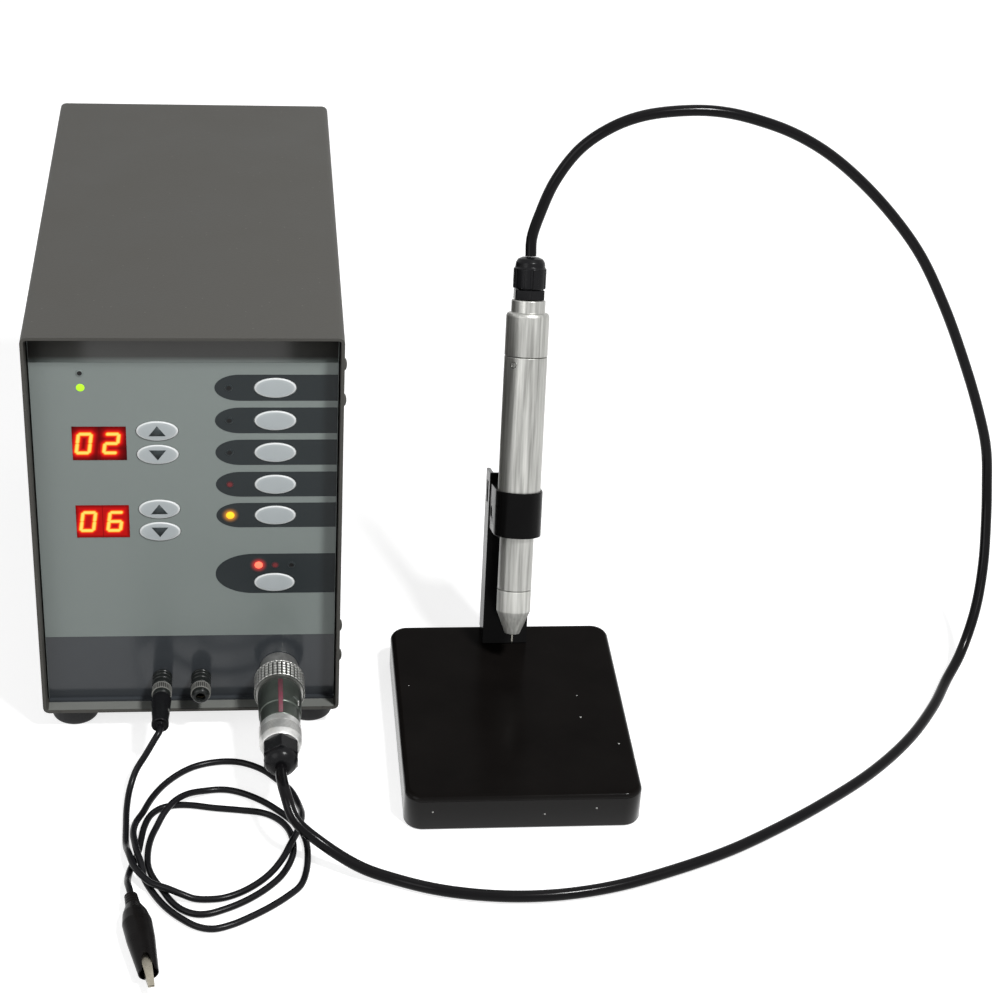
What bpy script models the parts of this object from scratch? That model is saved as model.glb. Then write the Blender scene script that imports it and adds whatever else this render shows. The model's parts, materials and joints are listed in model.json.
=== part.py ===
import math

import bmesh
import bpy
import numpy as np
from mathutils import Euler, Matrix, Vector

# Every length below is in millimetres. MM turns it into the scene's metres.
MM = 0.001
GAP = 0.3

# Case: a folded cover over a thick base plate, with a recessed panel at each end.
CASE_WIDTH = 146.0
CASE_DEPTH = 275.0
CASE_TOP = 221.0
FOOT_HEIGHT = 11.0
WALL = 1.6
BEND = 3.0
FLANGE = 8.0
CASE_HALF = CASE_WIDTH / 2
INNER_HALF = CASE_HALF - WALL
FLANGE_TOP = FOOT_HEIGHT + WALL
FOOT_PLACE = (58.5, 16.0)
FOOT_RADIUS = 11.6
TRAY_TOP = FLANGE_TOP + GAP + WALL
TRAY_LEDGE = INNER_HALF - 1.1
PANEL_HALF = INNER_HALF - 0.8
PANEL_LOW = FLANGE_TOP + GAP
LEDGE_INSET = 32.0
PANEL_HIGH = CASE_TOP - WALL - 0.6
SCREW_HEAD = 1.8
SCREW_RADIUS = 3.25
SCREW_ROWS = (CASE_TOP - 23.0, CASE_TOP - 42.0, 50.0, 32.0)
REAR_SCREW_ROWS = (CASE_TOP - 31.0, CASE_TOP - 106.0, 40.0)

# Front panel, counted back from the case's front lip at y = 0.
RECESS = 9.0
OVERLAY = 0.8
OVERLAY_BACK = RECESS + OVERLAY
PLATE_FRONT = OVERLAY_BACK + GAP
PLATE_BACK = PLATE_FRONT + WALL
RETURN = 12.0

# Things on the front panel: x of each centre, and its place down from the panel's top edge.
DISPLAYS = {
    "display_power": (-40.2, PANEL_HIGH - 58.0),
    "display_time": (-40.2, PANEL_HIGH - 101.0),
}
DISPLAY_SIZE = (25.2, 19.05)
WINDOW_SIZE = (25.0, 18.1)
BUTTONS = {
    "power_up": (-13.4, PANEL_HIGH - 51.3),
    "power_down": (-13.4, PANEL_HIGH - 64.0),
    "time_up": (-13.4, PANEL_HIGH - 94.2),
    "time_down": (-13.4, PANEL_HIGH - 106.8),
    "program_button_1": (41.4, PANEL_HIGH - 28.4),
    "program_button_2": (41.4, PANEL_HIGH - 45.8),
    "program_button_3": (41.4, PANEL_HIGH - 63.1),
    "program_button_4": (41.4, PANEL_HIGH - 80.7),
    "program_button_5": (41.4, PANEL_HIGH - 98.0),
    "select_button": (41.0, PANEL_HIGH - 136.6),
}
LAMPS = (
    (-47.75, PANEL_HIGH - 20.7),
    (-47.7, PANEL_HIGH - 28.3),
    (20.0, PANEL_HIGH - 28.4),
    (20.0, PANEL_HIGH - 45.8),
    (20.0, PANEL_HIGH - 63.1),
    (20.0, PANEL_HIGH - 80.7),
    (20.0, PANEL_HIGH - 98.0),
    (33.4, PANEL_HIGH - 126.6),
    (41.4, PANEL_HIGH - 126.6),
    (49.2, PANEL_HIGH - 126.6),
)
BUTTON_RADII = (9.7, 5.1)
BUTTON_PROUD = 0.7
BUTTON_THICK = 1.2
BUTTON_FRONT = RECESS - BUTTON_PROUD
BUTTON_STEM = 2.0
BUTTON_TRAVEL = 0.4
LAMP_RADIUS = 1.5
LAMP_FRONT = RECESS - 0.2
STEM_BACK = PLATE_FRONT + 6.5
SWITCH_FRONT = STEM_BACK + BUTTON_TRAVEL + 0.1
BOARD_FRONT = SWITCH_FRONT + 3.5
BOARD_BACK = BOARD_FRONT + WALL
BOARD_HALF = PANEL_HALF - WALL - 3.0
BOARD_HIGH = PANEL_HIGH - WALL - 5.2
STANDOFF_INSET = 6.0

# Binding posts and their plug.
POST_HEIGHT = 26.0
POSTS = {"left": -14.4, "right": 4.65}
POST_RADIUS = 4.9
STUD_RADIUS = 3.2
SOCKET_BORE = 2.3
PIN_RADIUS = SOCKET_BORE - GAP
CAP_FRONT = -8.5
SLEEVE_BACK = CAP_FRONT - GAP
SLEEVE_FRONT = SLEEVE_BACK - 22.2

# Round connector of the handpiece cable.
CONNECTOR = (43.3, 31.0)
BOARD_LOW = CONNECTOR[1] + 29.0
SHANK_RADIUS = 8.0
NOSE_RADIUS = 9.1
RING_RADIUS = 12.4

# Stand: a heavy plate with a post that leans back, in a frame of its own.
BASE_X = (101.6, 215.8)
BASE_Y = (-81.8, 60.4)
BASE_HEIGHT = 19.5
BASE_CORNER = 9.0
BASE_FILLET = 3.0
LEAN_BACK = math.radians(-21.5)
LEAN_SIDE = math.radians(2.1)
POST_FOOT = (161.3, 42.6, BASE_HEIGHT)
POST_WIDTH = 23.0
POST_DEPTH = 16.0
POST_WALL = 2.0
POST_LENGTH = 90.0
POST_OFFSET = -1.1
AXIS_FORWARD = -20.0
HOLDER = (61.8, 84.9)
HOLDER_LIP = 2.6
HOLDER_RADIUS = 12.0
BOLT_HEIGHT = 73.3

# Handpiece, as heights up its own axis.
SLIM = 8.6
FAT = 10.8
SHOULDER = HOLDER[0] + HOLDER_LIP + GAP
NOSE_TOP = 33.7
BARREL_TOP = 152.8
CAP_TOP = 174.8
NECK_TOP = 181.0
HEX_TOP = 186.2
GLAND_TOP = 202.4
LIFT = 100.0

# Cords.
CABLE_RADIUS = 2.8
LEAD_RADIUS = 1.6

# Clip at the end of the earth lead: its neck, its heading and its height.
CLIP_NECK = (-24.9, -130.5, 6.6)
CLIP_TURN = math.radians(190.95)
CLIP_PIN = 31.0
CLIP_PIN_RADIUS = 0.6
BOOT_WIDENING = 1.16
BOOT_MOUTH = 9.5

# Rear panel.
REAR_RECESS = 4.0
REAR_FACE = CASE_DEPTH - REAR_RECESS
REAR_FITTINGS = {"inlet": (-38.0, 44.0), "switch": (4.0, 44.0), "fuse": (40.0, 44.0)}
FUSE_PROUD = 14.0

# Hidden inside: placed one ahead of the other, from the rear panel forwards.
POWER_BOARD_HALF = 60.0
POWER_BOARD_Y = (REAR_FACE - 66.0, REAR_FACE - 26.0)
POWER_BOARD_HEIGHT = 70.0
LEG_HALF = 2.5
CORE_HALF = 48.0
CORE_HEIGHT = 82.0
CORE_Y = (POWER_BOARD_Y[0] - 85.0, POWER_BOARD_Y[0] - 15.0)
LIMB = 18.0
COIL_PROUD = 8.0
CAPACITOR_RADIUS = 17.5
CAPACITOR_HEIGHT = 92.0
CAPACITOR_X = 26.0
CAPACITOR_Y = CORE_Y[0] - 38.0

# The object's footprint, whose middle becomes the origin.
LEFT_END = -CASE_HALF - SCREW_HEAD
RIGHT_END = BASE_X[1]
FRONT_END = BASE_Y[0]
REAR_END = REAR_FACE + FUSE_PROUD
CENTRE = ((LEFT_END + RIGHT_END) / 2, (FRONT_END + REAR_END) / 2)

BLACK = (0.012, 0.012, 0.013)
STEEL = (0.55, 0.55, 0.54)
COVER = (0.075, 0.073, 0.066)


def clear_scene():
    for item in list(bpy.data.objects):
        bpy.data.objects.remove(item, do_unlink=True)


def new_collection(name):
    made = bpy.data.collections.new(name)
    bpy.context.scene.collection.children.link(made)
    return made


def give_material(obj, colour, rough, metal):
    made = bpy.data.materials.new(obj.name + "_material")
    made.use_nodes = True
    shader = made.node_tree.nodes["Principled BSDF"]
    shader.inputs["Base Color"].default_value = (*colour, 1.0)
    shader.inputs["Roughness"].default_value = rough
    shader.inputs["Metallic"].default_value = metal
    made.diffuse_color = (*colour, 1.0)
    obj.data.materials.append(made)


def new_empty(name, at, turn, parent):
    made = bpy.data.objects.new(name, None)
    made.location = Vector(at) * MM
    made.rotation_euler = turn
    made.empty_display_size = 0.02
    made.parent = parent
    parts.objects.link(made)
    return made


def store(name, bm, parent, at=(0, 0, 0), turn=(0, 0, 0)):
    """A mesh object from bm, whose points are in the parent's frame; its origin goes to `at`."""
    mesh = bpy.data.meshes.new(name)
    bmesh.ops.translate(bm, verts=bm.verts, vec=-Vector(at))
    bmesh.ops.scale(bm, verts=bm.verts, vec=(MM, MM, MM))
    bm.to_mesh(mesh)
    bm.free()
    made = bpy.data.objects.new(name, mesh)
    made.parent = parent
    made.location = Vector(at) * MM
    made.rotation_euler = turn
    return made


def piece(obj, colour, rough, metal=0.0):
    parts.objects.link(obj)
    give_material(obj, colour, rough, metal)
    return obj


def helper(obj):
    obj.hide_render = True
    obj.display_type = "WIRE"
    helpers.objects.link(obj)
    return obj


def combine(obj, other, operation):
    helper(other)
    made = obj.modifiers.new(other.name, "BOOLEAN")
    made.operation = operation
    made.object = other
    made.solver = "EXACT"
    return obj


def cut(obj, other):
    return combine(obj, other, "DIFFERENCE")


def join(obj, other):
    return combine(obj, other, "UNION")


def smooth_by_angle(obj, degrees=35.0):
    for face in obj.data.polygons:
        face.use_smooth = True
    obj.data.set_sharp_from_angle(angle=math.radians(degrees))
    return obj


def circle(cx, cy, radius, count=20, phase=0.0):
    angles = [phase + 2 * math.pi * i / count for i in range(count)]
    return [(cx + radius * math.cos(t), cy + radius * math.sin(t)) for t in angles]


def ellipse(cx, cy, a, b, count=24):
    angles = [2 * math.pi * i / count for i in range(count)]
    return [(cx + a * math.cos(t), cy + b * math.sin(t)) for t in angles]


def rectangle(cx, cy, width, height):
    a = width / 2
    b = height / 2
    return [(cx - a, cy - b), (cx + a, cy - b), (cx + a, cy + b), (cx - a, cy + b)]


def rounded(x0, x1, y0, y1, radius, count=5):
    outline = []
    for cx, cy, start in (
        (x1 - radius, y1 - radius, 0.0),
        (x0 + radius, y1 - radius, 0.5),
        (x0 + radius, y0 + radius, 1.0),
        (x1 - radius, y0 + radius, 1.5),
    ):
        for i in range(count + 1):
            t = math.pi * (start + 0.5 * i / count)
            outline.append((cx + radius * math.cos(t), cy + radius * math.sin(t)))
    return outline


def placed(axis, u, v, w):
    """The point with (u, v) on the outline's plane and w along the named axis."""
    if axis == "x":
        return (w, u, v)
    if axis == "y":
        return (u, w, v)
    return (u, v, w)


def add_prism(bm, outline, low, high, axis):
    near = [bm.verts.new(placed(axis, u, v, low)) for u, v in outline]
    far = [bm.verts.new(placed(axis, u, v, high)) for u, v in outline]
    faces = [bm.faces.new(near), bm.faces.new(far[::-1])]
    for i in range(len(near)):
        j = (i + 1) % len(near)
        faces.append(bm.faces.new((near[i], near[j], far[j], far[i])))
    bmesh.ops.recalc_face_normals(bm, faces=faces)


def add_box(bm, x, y, z):
    add_prism(bm, [(x[0], y[0]), (x[1], y[0]), (x[1], y[1]), (x[0], y[1])], z[0], z[1], "z")


def add_loft(bm, loops):
    """A closed body through loops of points, each with as many points as the next."""
    rows = [[bm.verts.new(point) for point in loop] for loop in loops]
    faces = [bm.faces.new(rows[0]), bm.faces.new(rows[-1][::-1])]
    for low, high in zip(rows, rows[1:]):
        for i in range(len(low)):
            j = (i + 1) % len(low)
            faces.append(bm.faces.new((low[i], low[j], high[j], high[i])))
    bmesh.ops.recalc_face_normals(bm, faces=faces)


def prism(name, outline, low, high, axis, parent, at=(0, 0, 0)):
    bm = bmesh.new()
    add_prism(bm, outline, low, high, axis)
    return store(name, bm, parent, at)


def boxes(name, spans, parent, at=(0, 0, 0)):
    bm = bmesh.new()
    for x, y, z in spans:
        add_box(bm, x, y, z)
    return store(name, bm, parent, at)


def prisms(name, outlines, low, high, axis, parent):
    bm = bmesh.new()
    for outline in outlines:
        add_prism(bm, outline, low, high, axis)
    return store(name, bm, parent)


def turned(name, profile, parent, at=(0, 0, 0), turn=(0, 0, 0), steps=24):
    """A profile of (radius, height) turned about its own Z with a Screw modifier.

    The profile runs down its outer side. It is closed unless both ends are on the axis.
    """
    bm = bmesh.new()
    points = [bm.verts.new((radius * MM, 0.0, height * MM)) for radius, height in profile]
    for a, b in zip(points, points[1:]):
        bm.edges.new((a, b))
    if profile[0][0] > 0 or profile[-1][0] > 0:
        bm.edges.new((points[-1], points[0]))
    mesh = bpy.data.meshes.new(name)
    bm.to_mesh(mesh)
    bm.free()
    made = bpy.data.objects.new(name, mesh)
    made.parent = parent
    made.location = Vector(at) * MM
    made.rotation_euler = turn
    screw = made.modifiers.new("Turned", "SCREW")
    screw.axis = "Z"
    screw.angle = 2 * math.pi
    screw.steps = steps
    screw.render_steps = steps
    screw.use_merge_vertices = True
    screw.merge_threshold = 0.00001
    screw.use_smooth_shade = True
    return made


def turned_front(name, profile, x, z, parent, steps=24, origin=0.0):
    """A profile of (radius, y) about the panel's normal; it runs from the front back."""
    heights = [(radius, origin - y) for radius, y in profile]
    return turned(name, heights, parent, (x, origin, z), (math.pi / 2, 0, 0), steps)


def bent(corners, radius, count=3):
    """The open path through corners, with each inner corner rounded."""
    path = [Vector(corners[0])]
    for before, corner, after in zip(corners, corners[1:], corners[2:]):
        corner = Vector(corner)
        back = (Vector(before) - corner).normalized()
        on = (Vector(after) - corner).normalized()
        centre = corner + (back + on) * radius
        for i in range(count + 1):
            t = math.pi / 2 * i / count
            path.append(centre - on * radius * math.cos(t) - back * radius * math.sin(t))
    path.append(Vector(corners[-1]))
    return [tuple(point) for point in path]


def folded(name, outer, inner, low, high, parent):
    """A folded sheet along Y between two paths of the same number of points."""
    bm = bmesh.new()
    rows = []
    for path in (outer, inner):
        for y in (low, high):
            rows.append([bm.verts.new((x, y, z)) for x, z in path])
    outer_near, outer_far, inner_near, inner_far = rows
    faces = []
    for i in range(len(outer) - 1):
        for a, b in (
            (outer_near, outer_far),
            (inner_near, inner_far),
            (outer_near, inner_near),
            (outer_far, inner_far),
        ):
            faces.append(bm.faces.new((a[i], a[i + 1], b[i + 1], b[i])))
    for i in (0, -1):
        faces.append(bm.faces.new((outer_near[i], outer_far[i], inner_far[i], inner_near[i])))
    bmesh.ops.recalc_face_normals(bm, faces=faces)
    return store(name, bm, parent)


def screw_head_loops(side, y, z):
    """A domed screw head with its shank, pointing out from one side of the cover."""
    loops = []
    for radius, out in ((1.4, -4.2), (1.4, -1.0), (3.25, -0.6), (3.25, 0.5), (2.4, 1.4), (0.9, 1.8)):
        x = side * (CASE_HALF + out)
        loops.append([(x, y + u, z + v) for u, v in circle(0, 0, radius, 12)])
    return loops


def make_cover():
    h = CASE_HALF
    g = INNER_HALF
    edge = h - FLANGE
    low = FOOT_HEIGHT
    outer = bent([(-edge, low), (-h, low), (-h, CASE_TOP), (h, CASE_TOP), (h, low), (edge, low)], BEND)
    top = CASE_TOP - WALL
    lip = FLANGE_TOP
    inner = bent([(-edge, lip), (-g, lip), (-g, top), (g, top), (g, lip), (edge, lip)], BEND - WALL)
    cover = folded("case_cover", outer, inner, 0, CASE_DEPTH, root)
    bm = bmesh.new()
    for side in (-1, 1):
        for z in SCREW_ROWS:
            add_loft(bm, screw_head_loops(side, PLATE_BACK + 6.3, z))
        for z in REAR_SCREW_ROWS:
            add_loft(bm, screw_head_loops(side, REAR_FACE - WALL - 6.0, z))
    join(cover, store("cover_screws", bm, root))
    return piece(cover, COVER, 0.75)


def foot_places():
    x, y = FOOT_PLACE
    return [(side * x, along) for along in (y, CASE_DEPTH - y) for side in (-1, 1)]


def make_tray():
    a = CASE_HALF - FLANGE - GAP
    b = TRAY_LEDGE
    low = FOOT_HEIGHT
    ledge = FLANGE_TOP + GAP
    plate = prism("base_tray", [(-a, low), (a, low), (a, FLANGE_TOP), (-a, FLANGE_TOP)], 0, CASE_DEPTH, "y", root)
    a -= 1.0
    outline = [(-a, low + 0.5), (a, low + 0.5), (a, ledge), (b, ledge), (b, TRAY_TOP)]
    outline += [(-b, TRAY_TOP), (-b, ledge), (-a, ledge)]
    tray = join(plate, prism("tray_ledge", outline, LEDGE_INSET, CASE_DEPTH - LEDGE_INSET, "y", root))
    holes = [circle(x, y, 2.3, 16) for x, y in foot_places()]
    cut(tray, prisms("tray_holes", holes, low - 5, TRAY_TOP + 5, "z", root))
    piece(tray, COVER, 0.7)
    top = FOOT_HEIGHT - GAP
    barb = FLANGE_TOP + GAP
    r = FOOT_RADIUS
    profile = [(0, barb + 3), (1.6, barb + 3), (3.4, barb + 0.8), (3.4, barb), (2.0, barb)]
    profile += [(2.0, top), (r, top), (r, 4.0), (r - 0.4, 1.8), (r - 1.6, 0.5), (r - 3.2, 0.0), (0, 0.0)]
    for name, (x, y) in zip(("front_left", "front_right", "rear_left", "rear_right"), foot_places()):
        foot = turned("foot_" + name, profile, root, (x, y, 0))
        piece(foot, BLACK, 0.8)


def end_panel(name, face, plate, inward):
    """A panel plate between y = face and plate, with a side flange that runs inward."""
    far = plate + inward * RETURN
    lean = PANEL_HALF - WALL
    outline = [(-PANEL_HALF, face), (PANEL_HALF, face), (PANEL_HALF, far), (lean, far)]
    outline += [(lean, plate), (-lean, plate), (-lean, far), (-PANEL_HALF, far)]
    return prism(name, outline, PANEL_LOW, PANEL_HIGH, "z", root)


def flange_holes(name, y, rows):
    outlines = [circle(y, z, 2.0, 12) for z in rows]
    bm = bmesh.new()
    for side in (-1, 1):
        for outline in outlines:
            low, high = sorted((side * (PANEL_HALF - 4), side * (PANEL_HALF + 2)))
            add_prism(bm, outline, low, high, "x")
    return store(name, bm, root)


def fitting_holes():
    """The holes that the overlay and the plate share."""
    outlines = [circle(x, z, LAMP_RADIUS + GAP, 12) for x, z in LAMPS]
    outlines += [circle(x, POST_HEIGHT, STUD_RADIUS + GAP) for x in POSTS.values()]
    outlines.append(circle(*CONNECTOR, SHANK_RADIUS + GAP, 28))
    return outlines


def make_front_panel():
    plate = end_panel("front_panel", PLATE_FRONT, PLATE_BACK, 1)
    outlines = fitting_holes()
    outlines += [circle(x, z, BUTTON_STEM + 0.5, 16) for x, z in BUTTONS.values()]
    outlines += [
        rectangle(x, z, DISPLAY_SIZE[0] + 2 * GAP, DISPLAY_SIZE[1] + 2 * GAP)
        for x, z in DISPLAYS.values()
    ]
    cut(plate, prisms("plate_holes", outlines, PLATE_FRONT - 2, PLATE_BACK + 2, "y", root))
    cut(plate, flange_holes("front_flange_holes", PLATE_BACK + 6.3, SCREW_ROWS))
    piece(plate, STEEL, 0.4, 0.8)

    outline = rectangle(0, (PANEL_LOW + PANEL_HIGH) / 2, 2 * PANEL_HALF, PANEL_HIGH - PANEL_LOW)
    overlay = prism("panel_overlay", outline, RECESS, OVERLAY_BACK, "y", root)
    outlines = fitting_holes()
    a, b = BUTTON_RADII
    outlines += [ellipse(x, z, a + GAP, b + GAP) for x, z in BUTTONS.values()]
    outlines += [rectangle(x, z, *WINDOW_SIZE) for x, z in DISPLAYS.values()]
    cut(overlay, prisms("overlay_holes", outlines, RECESS - 2, OVERLAY_BACK + 2, "y", root))
    piece(overlay, (0.225, 0.258, 0.245), 0.35)


def make_buttons():
    a, b = BUTTON_RADII
    back = BUTTON_FRONT + BUTTON_THICK
    for name, (x, z) in BUTTONS.items():
        bm = bmesh.new()
        loops = []
        for inset, y in ((0.7, BUTTON_FRONT), (0.0, BUTTON_FRONT + 0.5), (0.0, back)):
            loops.append([(u, y, v) for u, v in ellipse(x, z, a - inset, b - inset)])
        add_loft(bm, loops)
        button = store(name, bm, root, (x, BUTTON_FRONT, z))
        stem = prism(name + "_stem", circle(x, z, BUTTON_STEM, 12), back - 0.4, STEM_BACK, "y", root)
        join(button, stem)
        piece(smooth_by_angle(button), (0.35, 0.4, 0.42), 0.45)


def make_electronics():
    for name, (x, z) in DISPLAYS.items():
        outline = rectangle(x, z, *DISPLAY_SIZE)
        display = prism(name, outline, PLATE_FRONT, BOARD_FRONT - GAP, "y", root, (x, PLATE_FRONT, z))
        piece(display, (0.1, 0.005, 0.005), 0.3)
    size = (2 * BOARD_HALF, BOARD_HIGH - BOARD_LOW)
    outline = rectangle(0, (BOARD_LOW + BOARD_HIGH) / 2, *size)
    board = prism("control_board", outline, BOARD_FRONT, BOARD_BACK, "y", root)
    bm = bmesh.new()
    for x, z in BUTTONS.values():
        add_prism(bm, rectangle(x, z, 6, 6), SWITCH_FRONT, BOARD_FRONT + 0.5, "y")
    for x, z in LAMPS:
        add_prism(bm, circle(x, z, LAMP_RADIUS, 12), LAMP_FRONT, BOARD_FRONT + 0.5, "y")
    x = BOARD_HALF - STANDOFF_INSET
    for side in (-x, x):
        for z in (BOARD_LOW + STANDOFF_INSET, BOARD_HIGH - STANDOFF_INSET):
            add_prism(bm, circle(side, z, 2.5, 12), PLATE_BACK + GAP, BOARD_FRONT + 0.5, "y")
    join(board, store("board_parts", bm, root))
    piece(board, (0.02, 0.12, 0.04), 0.5)


def make_binding_posts():
    collar = RECESS - GAP
    nut = PLATE_BACK + GAP
    r = POST_RADIUS
    s = STUD_RADIUS
    front = CAP_FRONT + 3.3
    post_profile = [(0, 14), (SOCKET_BORE, 14), (SOCKET_BORE, front), (s, front), (s, collar - 3.2)]
    post_profile += [(r, collar - 3.2), (r, collar), (s, collar), (s, nut), (5.2, nut)]
    post_profile += [(5.2, nut + 3.5), (s, nut + 3.5), (s, 24), (0, 24)]
    inside = s + GAP
    back = collar - 3.2 - GAP
    cap_profile = [(SOCKET_BORE, CAP_FRONT), (r - 0.5, CAP_FRONT), (r, CAP_FRONT + 0.6), (r, back)]
    cap_profile += [(inside, back), (inside, front - GAP), (SOCKET_BORE, front - GAP)]
    for side, x in POSTS.items():
        post = turned_front("binding_post_" + side, post_profile, x, POST_HEIGHT, root, 20)
        piece(post, (0.8, 0.55, 0.2), 0.25, 1.0)
        cap = turned_front("post_cap_" + side, cap_profile, x, POST_HEIGHT, root, 24)
        piece(cap, BLACK, 0.35)
    pin = [(0, SLEEVE_FRONT), (3.4, SLEEVE_FRONT), (4.25, SLEEVE_FRONT + 1), (r, SLEEVE_BACK - 1)]
    pin += [(r - 0.4, SLEEVE_BACK), (PIN_RADIUS, SLEEVE_BACK), (PIN_RADIUS, 9), (1.2, 10), (0, 10)]
    plug = turned_front("banana_plug", pin, POSTS["left"], POST_HEIGHT, root, 20)
    piece(plug, BLACK, 0.4)


def make_connector():
    x, z = CONNECTOR
    back = RECESS - GAP
    nut = PLATE_BACK + GAP
    r = NOSE_RADIUS
    s = SHANK_RADIUS
    profile = [(0, -10), (r, -10), (r, -0.7), (10, -0.7), (10, back), (s, back), (s, nut)]
    profile += [(11, nut), (11, nut + 4), (s, nut + 4), (s, 22), (0, 22)]
    piece(turned_front("connector_socket", profile, x, z, root), STEEL, 0.3, 1.0)

    bore = r + GAP
    profile = [(bore, -13.8), (RING_RADIUS - 0.7, -13.8), (RING_RADIUS, -13.1)]
    profile += [(RING_RADIUS, -1.7), (RING_RADIUS - 0.7, -1.0), (bore, -1.0)]
    piece(turned_front("coupling_ring", profile, x, z, root, 36), STEEL, 0.3, 1.0)

    profile = [(0, -48.5), (7, -48.5), (7, -41.5), (9.4, -41.5), (9.8, -41.1), (9.8, -31.8)]
    profile += [(10.3, -31.8), (10.9, -14.8), (10.4, -14.1), (r, -14.1), (r, -10.3), (0, -10.3)]
    body = turned_front("plug_body", profile, x, z, root, 28)
    join(body, boxes("plug_key", [((x + 5.4, x + 8.4), (-31.2, -25.5), (z + 5, z + 8.6))], root))
    piece(body, (0.06, 0.06, 0.065), 0.35, 0.9)

    profile = [(7.3, -56.5), (9.3, -56.5), (10.3, -52.5), (10.3, -42.4), (9.8, -41.8), (7.3, -41.8)]
    piece(turned_front("plug_clamp_ring", profile, x, z, root), STEEL, 0.3, 1.0)

    profile = [(0, -71), (4.5, -71), (6.9, -69.4), (8, -66.6), (8, -60), (7, -60), (7, -49.5), (0, -49.5)]
    gland = turned_front("plug_gland", profile, x, z, root, 20)
    join(gland, prism("plug_gland_hex", circle(x, z, 9.24, 6, math.pi / 6), -65.5, -56.8, "y", root))
    piece(gland, BLACK, 0.45)


def make_stand_base():
    bm = bmesh.new()
    loops = []
    levels = [(1.0, 0.0), (0.0, 1.0), (0.0, BASE_HEIGHT - BASE_FILLET)]
    for i in range(1, 5):
        t = math.pi / 2 * i / 4
        levels.append((BASE_FILLET * (1 - math.cos(t)), BASE_HEIGHT - BASE_FILLET * (1 - math.sin(t))))
    for inset, z in levels:
        outline = rounded(
            BASE_X[0] + inset, BASE_X[1] - inset, BASE_Y[0] + inset, BASE_Y[1] - inset, BASE_CORNER - inset
        )
        loops.append([(x, y, z) for x, y in outline])
    add_loft(bm, loops)
    base = store("stand_base", bm, root)
    piece(smooth_by_angle(base), BLACK, 0.12)


def make_post():
    half = POST_WIDTH / 2
    left = POST_OFFSET - half
    right = POST_OFFSET + half
    w = POST_WALL
    outline = [(left, 0), (right, 0), (right, POST_DEPTH), (right - w, POST_DEPTH), (right - w, w)]
    outline += [(left + w, w), (left + w, POST_DEPTH), (left, POST_DEPTH)]
    post = prism("stand_post", outline, -6, POST_LENGTH, "z", lean)
    ground = BASE_HEIGHT + GAP
    cut(post, boxes("post_foot_cut", [((100, 220), (0, 90), (-40, ground))], root))
    cut(post, prism("post_bolt_hole", circle(0, BOLT_HEIGHT, 2.4, 16), -3, w + 3, "y", lean))
    slot = [(5.5, 73.5), (10.5, 73.5), (10.5, 84.4), (5.5, 84.4)]
    cut(post, prism("post_side_slot", slot, left - 3, right + 3, "x", lean))
    piece(post, BLACK, 0.15)


def make_holder():
    r = HOLDER_RADIUS
    low, high = HOLDER
    outline = [(r, -GAP), (r, AXIS_FORWARD)]
    for i in range(1, 16):
        t = math.pi * i / 16
        outline.append((r * math.cos(t), AXIS_FORWARD - r * math.sin(t)))
    outline += [(-r, AXIS_FORWARD), (-r, -GAP)]
    holder = prism("ring_holder", outline, low, high, "z", lean)
    bore = circle(0, AXIS_FORWARD, FAT + GAP, 32)
    cut(holder, prism("holder_bore", bore, low + HOLDER_LIP, high + 5, "z", lean))
    lip = circle(0, AXIS_FORWARD, SLIM + GAP, 28)
    cut(holder, prism("holder_lip_bore", lip, low - 5, high, "z", lean))
    cut(holder, prism("holder_bolt_hole", circle(0, BOLT_HEIGHT, 2.4, 16), -7.6, 3, "y", lean))
    cut(holder, prism("holder_side_hole", circle(-6.5, 71.0, 2.9, 16), -r - 3, -r + 2.6, "x", lean))
    piece(smooth_by_angle(holder), BLACK, 0.2)
    head = POST_WALL + GAP
    profile = [(0, -7.2), (2.0, -7.2), (2.0, head), (4.2, head), (4.2, head + 2.8), (0, head + 2.8)]
    bolt = turned_front("holder_bolt", profile, 0, BOLT_HEIGHT, lean, 16)
    piece(bolt, STEEL, 0.35, 1.0)


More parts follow.
